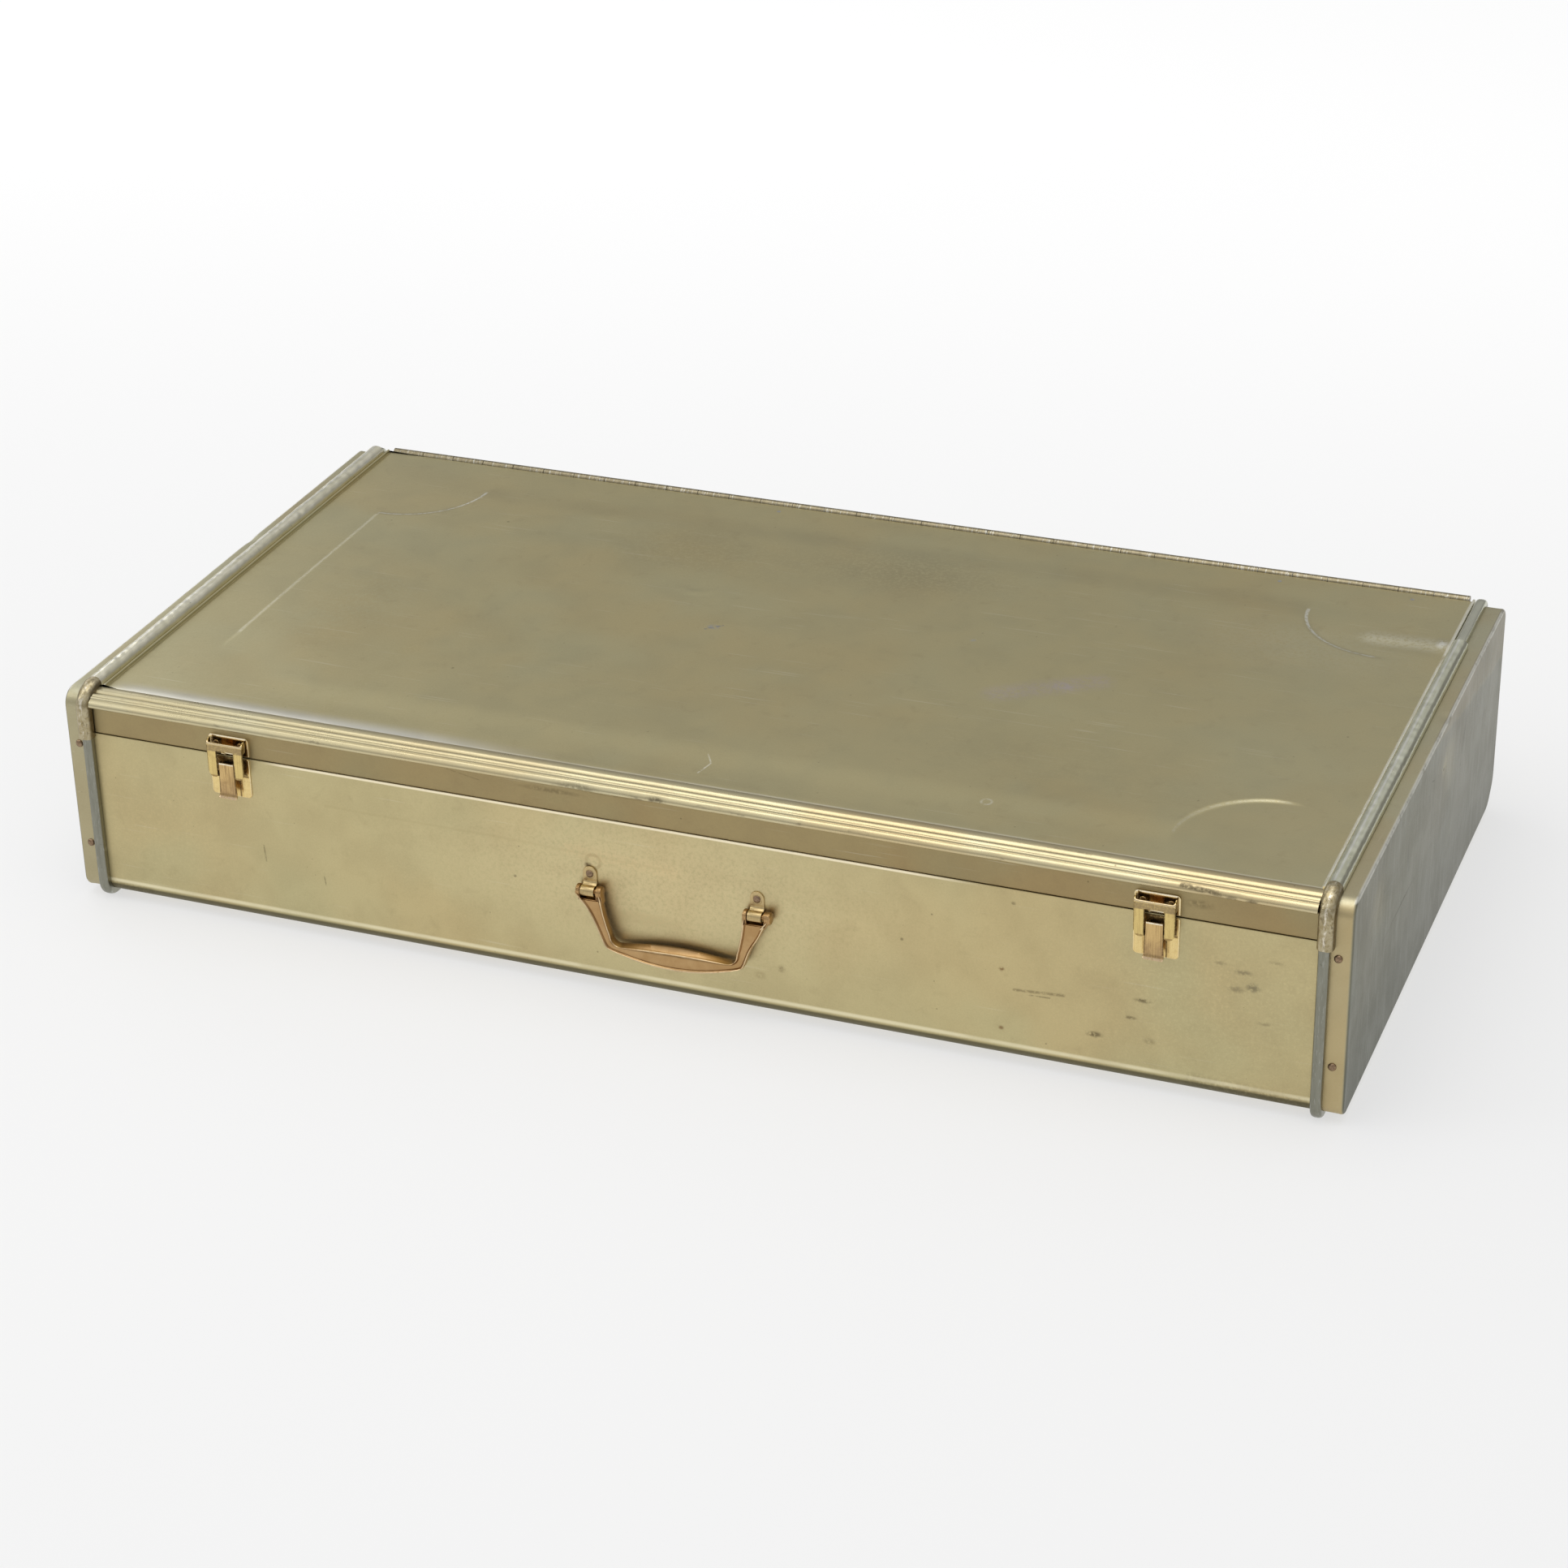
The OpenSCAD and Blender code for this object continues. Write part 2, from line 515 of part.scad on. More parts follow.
module lid_channel(end) translate([0, end, 0]) rotate([90, 0, 0]) linear_extrude(end - rail_d) channel_plan();
module lid_channel_right() color(c_rim) place() lid_channel(channel_end_right);
module lid_channel_left() color(c_rim) place() mirror([1, 0, 0]) lid_channel(channel_end_left);

// corner piece that turns the channel down over the front of the rim
module corner_region(dy) {
  translate([-20, seam_z - 3 + dy]) square([20 + rail_d, 80]);
}
module lid_corner() difference() {
  union() {
    along_x(ch_i, ch_o) intersection() { outline(rim_h + 0.7); corner_region(0); }
    along_x(ch_i + 0.7, ch_o - 0.7) intersection() { outline(rim_h + 1.3); corner_region(0); }
    along_x(ch_i + 2, ch_o - 2) intersection() { outline(rim_h + 1.7); corner_region(0); }
    // slightly flared foot
    along_x(ch_i, ch_o + 0.3) intersection() { outline(rim_h + 2.0); translate([-20, seam_z - 3]) square([20, 2.4]); }
  }
  along_x(ch_i + 0.9, ch_o - 0.9) outline(rim_h + 0.35);
  along_x(ch_i - 1, ch_o + 1) outline(0.35);
}
module lid_corner_right() color(c_rail) place() lid_corner();
module lid_corner_left() color(c_rail) place() mirror([1, 0, 0]) lid_corner();

body_shell();
end_cap_left();
end_cap_right();
rim_left();
rim_right();
front_tongue();
end_cap_rivets_left();
end_cap_rivets_right();
hinge_leaf_body();
hinge_leaf_lid();
hinge_pin();
hinge_rivets_body();
hinge_rivets_lid();
handle_bracket_left();
handle_bracket_right();
handle_rivets();
handle_backplate();
handle();
handle_pin_left();
handle_pin_right();
latch_base_left();
latch_base_right();
latch_lever_left();
latch_lever_right();
latch_lever_pin_left();
latch_lever_pin_right();
latch_yoke_left();
latch_yoke_right();
latch_yoke_pin_left();
latch_yoke_pin_right();
latch_keeper_left();
latch_keeper_right();
latch_rivets_body();
latch_rivets_lid();
lid_panel();
front_rail();
lid_skirt();
lid_channel_left();
lid_channel_right();
lid_corner_left();
lid_corner_right();
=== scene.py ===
import bpy, bmesh, json, math
import numpy as np
from mathutils import Vector, Matrix


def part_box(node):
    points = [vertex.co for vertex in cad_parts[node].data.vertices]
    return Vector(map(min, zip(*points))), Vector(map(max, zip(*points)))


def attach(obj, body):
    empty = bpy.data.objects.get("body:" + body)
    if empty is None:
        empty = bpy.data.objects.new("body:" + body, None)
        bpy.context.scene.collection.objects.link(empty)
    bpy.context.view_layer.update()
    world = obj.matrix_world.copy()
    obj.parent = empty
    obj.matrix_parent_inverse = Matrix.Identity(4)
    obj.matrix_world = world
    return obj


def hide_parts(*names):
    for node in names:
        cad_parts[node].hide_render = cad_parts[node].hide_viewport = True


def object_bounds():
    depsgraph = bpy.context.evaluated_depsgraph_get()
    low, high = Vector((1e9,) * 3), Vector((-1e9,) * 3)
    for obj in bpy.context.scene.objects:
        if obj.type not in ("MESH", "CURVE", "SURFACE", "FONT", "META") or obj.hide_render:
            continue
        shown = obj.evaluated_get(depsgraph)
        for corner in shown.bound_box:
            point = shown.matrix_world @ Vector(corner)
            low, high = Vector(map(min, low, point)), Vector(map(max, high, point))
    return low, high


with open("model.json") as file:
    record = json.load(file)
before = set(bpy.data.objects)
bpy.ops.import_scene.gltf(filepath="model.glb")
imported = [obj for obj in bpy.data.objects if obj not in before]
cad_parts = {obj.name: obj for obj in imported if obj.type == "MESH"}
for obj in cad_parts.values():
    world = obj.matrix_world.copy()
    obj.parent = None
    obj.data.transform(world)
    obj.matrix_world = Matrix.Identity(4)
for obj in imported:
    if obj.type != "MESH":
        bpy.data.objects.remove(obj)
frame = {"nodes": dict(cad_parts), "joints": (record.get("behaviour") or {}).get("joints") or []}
cad_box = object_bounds()

# ------------------------------------------------------------------ place
# Everything below is written in case millimetres: y = 0 is the front panel,
# z = 0 the bottom sheet, x = 0 the middle. The frame's boxes give the shift.
_lo, _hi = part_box("body_shell")
OY, OZ = _lo.y * 1000, _lo.z * 1000


def box(node):
    a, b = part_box(node)
    return (np.array([a.x * 1000, a.y * 1000 - OY, a.z * 1000 - OZ]),
            np.array([b.x * 1000, b.y * 1000 - OY, b.z * 1000 - OZ]))


T = 1.2                                       # sheet
D = box("body_shell")[1][1]                   # depth of the shell
END = box("end_cap_right")[1][0]              # end face
CAP = box("end_cap_right")[1][2]              # top of the end boxes
RTOP = box("rim_right")[1][2] - CAP           # height of the rims
CH0, CH1 = box("lid_channel_right")
CL0, CL1 = box("lid_channel_left")
LX = CH0[0]                                   # side of the lid
RO = CH1[0] - 2.3                             # outer side of the right rim
RI = LX + 1.2                                 # inner side
RC = (RI + RO) / 2
LU = box("lid_panel")[0][2]                   # underside of the lid sheet
LT = LU + T
SEAM = box("body_shell")[0][2] + 117.5
RAIL = 14.5
CH_TOP = CH1[2]
R_F, R_B, R_TB, R_TF = 9.0, 22.0, 8.0, 11.0   # corner radii seen from the end

rng = np.random.default_rng(7)


def wave(seed, lo, hi, n=10):
    """A smooth random field of (a, b) in mm, wavelengths lo..hi, about -1..1."""
    r = np.random.default_rng(seed)
    ang = r.uniform(0, 2 * np.pi, n)
    k = 2 * np.pi / np.exp(r.uniform(np.log(lo), np.log(hi), n))
    ph = r.uniform(0, 2 * np.pi, n)

    def f(a, b):
        a, b = np.broadcast_arrays(np.asarray(a, float), np.asarray(b, float))
        s = np.zeros(a.shape)
        for i in range(n):
            s += np.cos(k[i] * (a * np.cos(ang[i]) + b * np.sin(ang[i])) + ph[i])
        return s / math.sqrt(n)
    return f


def sm(x, a, b):
    t = np.clip((np.asarray(x, float) - a) / (b - a), 0, 1)
    return t * t * (3 - 2 * t)


def gauss(x, s):
    return np.exp(-(np.asarray(x, float) / s) ** 2)


# ------------------------------------------------------------------ meshes
class Build:
    def __init__(self):
        self.V, self.F, self.n = [], [], 0

    def add(self, V, F):
        V = np.asarray(V, float).reshape(-1, 3)
        self.V.append(V)
        self.F += [tuple(int(k) + self.n for k in f) for f in F]
        self.n += len(V)

    def grid(self, P, cu=False, cv=False, cap=False):
        n, m = P.shape[:2]
        i = np.arange(n if cu else n - 1)
        j = np.arange(m if cv else m - 1)
        I, J = np.meshgrid(i, j, indexing="ij")
        F = np.stack([I * m + J, ((I + 1) % n) * m + J, ((I + 1) % n) * m + (J + 1) % m, I * m + (J + 1) % m], -1).reshape(-1, 4).tolist()
        if cap:  # closed section (cv): close both ends
            F.append(list(range(m)))
            F.append([(n - 1) * m + k for k in range(m)][::-1])
        self.add(P, F)

    def mirror(self):
        for v in self.V:
            v[:, 0] *= -1


MATS = {}


def piece(name, b, mat, body, nodes=(), sharp=38, merge=None, wear=None):
    me = bpy.data.meshes.new(name)
    V = np.concatenate(b.V) if b.V else np.zeros((0, 3))
    W = V * 0.001 + np.array([0, OY * 0.001, OZ * 0.001])
    me.from_pydata(W.tolist(), [], b.F)
    bm = bmesh.new()
    bm.from_mesh(me)
    if merge:
        bmesh.ops.remove_doubles(bm, verts=bm.verts, dist=merge * 0.001)
    bmesh.ops.recalc_face_normals(bm, faces=bm.faces)
    bm.to_mesh(me)
    bm.free()
    me.polygons.foreach_set("use_smooth", [True] * len(me.polygons))
    me.set_sharp_from_angle(angle=math.radians(sharp))
    o = bpy.data.objects.new(name, me)
    bpy.context.scene.collection.objects.link(o)
    for m in (mat if isinstance(mat, (list, tuple)) else [mat]):
        me.materials.append(m)
    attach(o, body)
    if nodes:
        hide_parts(*([nodes] if isinstance(nodes, str) else nodes))
    return o


def ring(o, step=6.0):
    """Outline of the case seen from the end, grown by o: (n, 2) points (y, z) and normals."""
    P, N, S = [], [], []
    cor = [(R_F, R_F, R_F, 180, 270), (D - R_B, R_B, R_B, 270, 360), (D - R_TB, CAP - R_TB, R_TB, 0, 90), (R_TF, CAP - R_TF, R_TF, 90, 180)]
    c = []
    for (cy, cz, r, a0, a1) in cor:
        rr = max(r + o, 0.02)
        sy = 1 if cy > D / 2 else -1
        sz = 1 if cz > CAP / 2 else -1
        cy2 = (D if sy > 0 else 0) - sy * (rr - o) if r + o < 0.02 else cy
        cz2 = (CAP if sz > 0 else 0) - sz * (rr - o) if r + o < 0.02 else cz
        a = np.radians(np.linspace(a0, a1, 11))
        c.append((np.stack([cy2 + rr * np.cos(a), cz2 + rr * np.sin(a)], -1), np.stack([np.cos(a), np.sin(a)], -1)))
    sides = [D, CAP, D, CAP]
    for i in range(4):
        P.append(c[i][0]); N.append(c[i][1])
        q0, q1 = c[i][0][-1], c[(i + 1) % 4][0][0]
        k = max(2, int(sides[i] / step))
        t = np.linspace(0, 1, k + 1)[1:-1, None]
        P.append(q0 + (q1 - q0) * t)
        N.append(np.repeat(c[i][1][-1][None], len(t), 0))
    return np.concatenate(P), np.concatenate(N)


def bevel_plate(poly, t, bev=0.25, seg=2, hole=None):
    """An extruded polygon in (x, z) with rounded edges, from y = 0 back to y = t: (V, F)."""
    bm = bmesh.new()
    vs = [bm.verts.new((x, 0, z)) for x, z in poly]
    f = bm.faces.new(vs)
    r = bmesh.ops.extrude_face_region(bm, geom=[f])
    bmesh.ops.translate(bm, verts=[v for v in r["geom"] if isinstance(v, bmesh.types.BMVert)], vec=(0, t, 0))
    bmesh.ops.recalc_face_normals(bm, faces=bm.faces)
    ed = [e for e in bm.edges if abs(e.verts[0].co.y - e.verts[1].co.y) < 1e-6]
    bmesh.ops.bevel(bm, geom=ed, offset=bev, segments=seg, affect="EDGES", profile=0.5, clamp_overlap=True)
    bm.verts.index_update()
    V = np.array([v.co[:] for v in bm.verts])
    F = [[v.index for v in f.verts] for f in bm.faces]
    bm.free()
    return V, F


def bevel_box(a, b, bev=0.2, seg=2):
    x0, y0, z0 = a
    x1, y1, z1 = b
    V, F = bevel_plate([(x0, z0), (x1, z0), (x1, z1), (x0, z1)], y1 - y0, bev, seg)
    V = V + np.array([0, y0, 0])
    return V, F


def tube(path, r, k=14, closed=False, up=(0, 0, 1), caps=True, round_end=True):
    """A round rod along path (n, 3); r a number or a list."""
    P = np.asarray(path, float)
    n = len(P)
    r = np.broadcast_to(np.asarray(r, float), (n,))
    t = np.gradient(P, axis=0)
    t /= np.linalg.norm(t, axis=1)[:, None]
    u0 = np.array(up, float)
    A = np.linspace(0, 2 * np.pi, k, endpoint=False)
    G = []
    for i in range(n):
        a = np.cross(t[i], u0)
        if np.linalg.norm(a) < 1e-3:
            a = np.cross(t[i], np.array([1.0, 0.1, 0]))
        a /= np.linalg.norm(a)
        b = np.cross(a, t[i])
        G.append(P[i] + r[i] * (np.cos(A)[:, None] * a + np.sin(A)[:, None] * b))
    return np.array(G)


def rod(b, p0, p1, r, k=24, dome=0.35, n=4):
    """A rod with softly rounded ends."""
    p0, p1 = np.array(p0, float), np.array(p1, float)
    d = p1 - p0
    L = np.linalg.norm(d)
    d = d / L
    e = min(dome * r, L * 0.3)
    s = [e * (1 - math.cos(math.pi / 2 * i / n)) for i in range(n + 1)]
    q = [r - e + e * math.sin(math.pi / 2 * i / n) for i in range(n + 1)]
    path = [p0 + d * x for x in s] + [p1 - d * x for x in s[::-1]]
    rad = q + q[::-1]
    u = (0, 0, 1) if abs(d[2]) < 0.9 else (0, 1, 0)
    P = np.asarray(path)
    A = np.linspace(0, 2 * np.pi, k, endpoint=False)
    a = np.cross(d, u); a /= np.linalg.norm(a)
    c = np.cross(a, d)
    G = np.array([P[i] + rad[i] * (np.cos(A)[:, None] * a + np.sin(A)[:, None] * c) for i in range(len(P))])
    b.grid(G, cv=True, cap=True)


def rivet(b, p, out, d, h, seed=0, k=22, skirt=0.12):
    """A domed rivet head at p on a surface, pointing out, with a hint of hammer flat."""
    p, out = np.array(p, float), np.array(out, float)
    u = np.array([0, 0, 1.0]) if abs(out[2]) < 0.9 else np.array([0, 1.0, 0])
    a = np.cross(out, u); a /= np.linalg.norm(a)
    c = np.cross(a, out)
    r = np.random.default_rng(seed)
    ph = r.uniform(0, 6.28, 2)
    rad = [d / 2 * 0.985, d / 2, d / 2 * 0.985, d / 2 * 0.93, d / 2 * 0.8, d / 2 * 0.62, d / 2 * 0.4, d / 2 * 0.18]
    hh = [-0.25, 0.02, 0.16 * h, 0.38 * h, 0.66 * h, 0.86 * h, 0.97 * h, h]
    A = np.linspace(0, 2 * np.pi, k, endpoint=False)
    G = []
    for i in range(len(rad)):
        w = rad[i] * (1 + 0.018 * np.cos(2 * A + ph[0]) + 0.012 * np.cos(3 * A + ph[1]))
        G.append(p + out * hh[i] + w[:, None] * (np.cos(A)[:, None] * a + np.sin(A)[:, None] * c))
    b.grid(np.array(G), cv=True, cap=True)


def chaikin(P, it=2, closed=False):
    P = np.asarray(P, float)
    for _ in range(it):
        Q = []
        n = len(P)
        if not closed:
            Q.append(P[0])
        for i in range(n if closed else n - 1):
            a, b2 = P[i], P[(i + 1) % n]
            Q += [a * 0.75 + b2 * 0.25, a * 0.25 + b2 * 0.75]
        if not closed:
            Q.append(P[-1])
        P = np.array(Q)
    return P


def resample(P, n, closed=False):
    P = np.asarray(P, float)
    if closed:
        P = np.concatenate([P, P[:1]])
    s = np.concatenate([[0], np.cumsum(np.linalg.norm(np.diff(P, axis=0), axis=1))])
    q = np.linspace(0, s[-1], n + 1 if closed else n)
    R = np.stack([np.interp(q, s, P[:, k]) for k in range(P.shape[1])], -1)
    return R[:-1] if closed else R


# ------------------------------------------------------------------ materials
class Nodes:
    """Small helper for writing node materials."""

    def __init__(self, name):
        self.m = bpy.data.materials.new(name)
        self.m.use_nodes = True
        self.t = self.m.node_tree
        self.t.nodes.clear()
        self.out = self.t.nodes.new("ShaderNodeOutputMaterial")
        self.bsdf = self.t.nodes.new("ShaderNodeBsdfPrincipled")
        self.t.links.new(self.bsdf.outputs[0], self.out.inputs[0])
        co = self.t.nodes.new("ShaderNodeTexCoord")
        mp = self.t.nodes.new("ShaderNodeMapping")
        mp.inputs["Scale"].default_value = (1000, 1000, 1000)
        mp.inputs["Location"].default_value = (0, -OY, -OZ)
        self.t.links.new(co.outputs["Object"], mp.inputs[0])
        self.P = mp.outputs[0]                    # place in case millimetres

    def link(self, a, sock):
        if isinstance(a, (int, float)):
            sock.default_value = a
        elif isinstance(a, (tuple, list)):
            sock.default_value = tuple(a) + ((1,) if len(a) == 3 and len(sock.default_value) == 4 else ())
        else:
            self.t.links.new(a, sock)

    def math(self, op, a, b=None, c=None, clamp=False):
        n = self.t.nodes.new("ShaderNodeMath")
        n.operation = op
        n.use_clamp = clamp
        self.link(a, n.inputs[0])
        if b is not None:
            self.link(b, n.inputs[1])
        if c is not None:
            self.link(c, n.inputs[2])
        return n.outputs[0]

    def vmath(self, op, a, b=None, scale=None):
        n = self.t.nodes.new("ShaderNodeVectorMath")
        n.operation = op
        self.link(a, n.inputs[0])
        if b is not None:
            self.link(b, n.inputs[1])
        if scale is not None:
            self.link(scale, n.inputs["Scale"])
        return n.outputs["Value"] if op in ("LENGTH", "DOT_PRODUCT", "DISTANCE") else n.outputs["Vector"]

    def mapr(self, v, a, b, lo=0.0, hi=1.0, smooth=True):
        n = self.t.nodes.new("ShaderNodeMapRange")
        n.interpolation_type = "SMOOTHSTEP" if smooth else "LINEAR"
        self.link(v, n.inputs[0])
        for i, x in zip((1, 2, 3, 4), (a, b, lo, hi)):
            n.inputs[i].default_value = x
        return n.outputs[0]

    def mix(self, f, a, b, mode="MIX"):
        n = self.t.nodes.new("ShaderNodeMix")
        n.data_type = "RGBA"
        n.blend_type = mode
        self.link(f, n.inputs[0])
        self.link(a, n.inputs[6])
        self.link(b, n.inputs[7])
        return n.outputs[2]

    def rot(self, stretch=(1, 1, 1), rot=(0, 0, 0), loc=(0, 0, 0), src=None):
        n = self.t.nodes.new("ShaderNodeMapping")
        n.inputs["Scale"].default_value = stretch
        n.inputs["Rotation"].default_value = [math.radians(a) for a in rot]
        n.inputs["Location"].default_value = loc
        self.t.links.new(src or self.P, n.inputs[0])
        return n.outputs[0]

    def noise(self, size, detail=2.0, rough=0.5, dist=0.0, stretch=None, rot=(0, 0, 0), loc=(0, 0, 0), src=None):
        """Noise of features about `size` mm."""
        n = self.t.nodes.new("ShaderNodeTexNoise")
        n.inputs["Scale"].default_value = 1.0 / size
        n.inputs["Detail"].default_value = detail
        n.inputs["Roughness"].default_value = rough
        n.inputs["Distortion"].default_value = dist
        self.t.links.new(self.rot(stretch or (1, 1, 1), rot, loc, src) if (stretch or any(rot) or any(loc) or src) else self.P, n.inputs["Vector"])
        return n.outputs["Fac"]

    def voro(self, size, loc=(0, 0, 0), rand=1.0):
        n = self.t.nodes.new("ShaderNodeTexVoronoi")
        n.inputs["Scale"].default_value = 1.0 / size
        n.inputs["Randomness"].default_value = rand
        self.t.links.new(self.rot(loc=loc) if any(loc) else self.P, n.inputs["Vector"])
        return n.outputs["Distance"]

    def seg(self, a, b, w, soft=0.6):
        """1 on the stroke from a to b of half width w mm, fading over soft mm."""
        a, b = np.array(a, float), np.array(b, float)
        ba = b - a
        pa = self.vmath("SUBTRACT", self.P, tuple(a))
        h = self.math("DIVIDE", self.vmath("DOT_PRODUCT", pa, tuple(ba)), float(max(ba @ ba, 1e-9)), clamp=True)
        near = self.vmath("SCALE", tuple(ba), scale=h)
        d = self.vmath("DISTANCE", pa, near)
        return self.mapr(d, w, w + soft, 1.0, 0.0)

    def blob(self, c, r, soft=None):
        """1 inside an ellipsoid of radii r about c, fading outwards."""
        r = (r, r, r) if isinstance(r, (int, float)) else r
        q = self.vmath("MULTIPLY", self.vmath("SUBTRACT", self.P, tuple(c)), tuple(1.0 / x for x in r))
        d = self.vmath("LENGTH", q)
        return self.mapr(d, 0.15 if soft is None else soft, 1.0, 1.0, 0.0)

    def ringmask(self, c, r, w, axis):
        q = self.vmath("SUBTRACT", self.P, tuple(c))
        k = [1, 1, 1]; k[axis] = 0
        d = self.vmath("LENGTH", self.vmath("MULTIPLY", q, tuple(k)))
        return self.mapr(self.math("ABSOLUTE", self.math("SUBTRACT", d, float(r))), w * 0.4, w, 1.0, 0.0)

    def bump(self, h, strength, dist_mm, normal=None):
        n = self.t.nodes.new("ShaderNodeBump")
        n.inputs["Strength"].default_value = strength
        n.inputs["Distance"].default_value = dist_mm * 0.001
        self.link(h, n.inputs["Height"])
        if normal is not None:
            self.t.links.new(normal, n.inputs["Normal"])
        return n.outputs[0]

    def axis(self, k):
        n = self.t.nodes.new("ShaderNodeSeparateXYZ")
        self.t.links.new(self.P, n.inputs[0])
        return n.outputs[k]

    def done(self, col, rough, metallic=1.0, normal=None):
        self.link(col, self.bsdf.inputs["Base Color"])
        self.link(rough, self.bsdf.inputs["Roughness"])
        self.bsdf.inputs["Metallic"].default_value = metallic
        if normal is not None:
            self.t.links.new(normal, self.bsdf.inputs["Normal"])
        return self.m


def hairlines(N, amount=1.0, seed=0.0, size=1.0, angles=(20, 68, 118, 155), axis=2):
    """Thin criss-cross scratches, 0..1."""
    out = None
    for i, a in enumerate(angles):
        r = [0, 0, 0]; r[axis] = a
        st = [0.028, 1.6, 0.5] if axis == 2 else ([0.028, 0.5, 1.6] if axis == 1 else [0.5, 0.028, 1.6])
        n = N.noise(2.2 * size, 1.0, 0.5, 0.0, stretch=tuple(st), rot=tuple(r), loc=(seed * 13 + i * 37, i * 11.3, seed * 7))
        line = N.mapr(n, 0.70, 0.76)
        gate = N.mapr(N.noise(60, 1.0, 0.5, loc=(i * 71 + seed, 5, 9)), 0.52, 0.66)
        x = N.math("MULTIPLY", line, gate)
        out = x if out is None else N.math("MAXIMUM", out, x)
    return N.math("MULTIPLY", out, amount)


def sheet_metal(name, base, warm, cool, rough=0.36, stains=1.0, marks=(), grain=0.05, hair=0.5, hair_axis=2, seed=0.0, extra=None, rim_dirt=0.0, speck=1.0):
    """Satin anodised aluminium: base colour with warm and cool drifts, grain, specks and scratches.
    marks: (mask maker, colour, strength, roughness change)"""
    N = Nodes(name)
    big = N.noise(150, 2.0, 0.55, 0.4, loc=(seed * 31, seed * 17, 3))
    mid = N.noise(34, 3.0, 0.6, 0.3, loc=(seed * 11, 7, seed))
    fine = N.noise(1.1, 2.0, 0.6, loc=(seed, 0, 0))
    col = N.mix(N.mapr(big, 0.42, 0.66), base, warm)
    col = N.mix(N.math("MULTIPLY", N.mapr(N.noise(95, 2.0, 0.5, loc=(5, seed * 23, 77)), 0.48, 0.70), 0.8), col, cool)
    # cloudy rubbing
    col = N.mix(N.math("MULTIPLY", N.mapr(mid, 0.38, 0.70), 0.10 * stains), col, (0.30, 0.22, 0.12))
    col = N.mix(N.math("MULTIPLY", N.mapr(N.noise(13, 3.0, 0.65, 0.5, loc=(seed * 3, 41, 2)), 0.55, 0.78), 0.14 * stains), col, (0.26, 0.19, 0.10))
    # grain
    col = N.mix(N.math("MULTIPLY", N.mapr(fine, 0.30, 0.72, smooth=False), 0.09), col, (0.20, 0.17, 0.11))
    # dark specks
    sp = N.mapr(N.voro(19, loc=(seed * 9, 3, seed * 5)), 0.018, 0.045, 1.0, 0.0)
    sp2 = N.mapr(N.voro(7.5, loc=(seed, 13, 5)), 0.02, 0.06, 1.0, 0.0)
    gate = N.mapr(N.noise(45, 2.0, 0.6, loc=(9, seed, 1)), 0.52, 0.62)
    specks = N.math("MAXIMUM", sp, N.math("MULTIPLY", sp2, gate))
    col = N.mix(N.math("MULTIPLY", specks, 0.5 * speck), col, (0.10, 0.075, 0.04))
    hl = hairlines(N, hair, seed, axis=hair_axis)
    col = N.mix(N.math("MULTIPLY", hl, 0.30), col, (0.90, 0.86, 0.72))
    ro = N.math("MULTIPLY_ADD", N.mapr(mid, 0.3, 0.7), 0.07, rough)
    ro = N.math("MULTIPLY_ADD", N.mapr(fine, 0.3, 0.7, smooth=False), 0.05, ro)
    h = N.math("MULTIPLY_ADD", hl, -0.6, N.math("MULTIPLY", fine, 0.35))
    for mk, c, k, dr in marks:
        m = mk(N)
        # broken up, so that no mark is a plain shape
        brk = N.mapr(N.noise(2.6, 3.0, 0.7, loc=(3, 8, seed)), 0.30, 0.58)
        m2 = N.math("MULTIPLY", m, brk)
        col = N.mix(N.math("MULTIPLY", m2, k), col, c)
        if dr:
            ro = N.math("MULTIPLY_ADD", m2, dr, ro)
        h = N.math("MULTIPLY_ADD", m2, -0.5, h)
    if extra:
        col, ro, h = extra(N, col, ro, h)
    nrm = N.bump(h, 0.5, grain)
    return N.done(col, ro, 1.0, nrm)


DARK = (0.075, 0.055, 0.03)
PALE = (0.86, 0.84, 0.74)


def stroke(a, b, w=0.35, soft=0.5):
    return lambda N: N.seg(a, b, w, soft)


def spot(c, r, soft=0.2):
    return lambda N: N.blob(c, r, soft)


def ringspot(c, r, w, axis):
    return lambda N: N.ringmask(c, r, w, axis)


GOLD = (0.575, 0.497, 0.270)
GOLD_W = (0.588, 0.486, 0.256)
GOLD_C = (0.555, 0.500, 0.276)

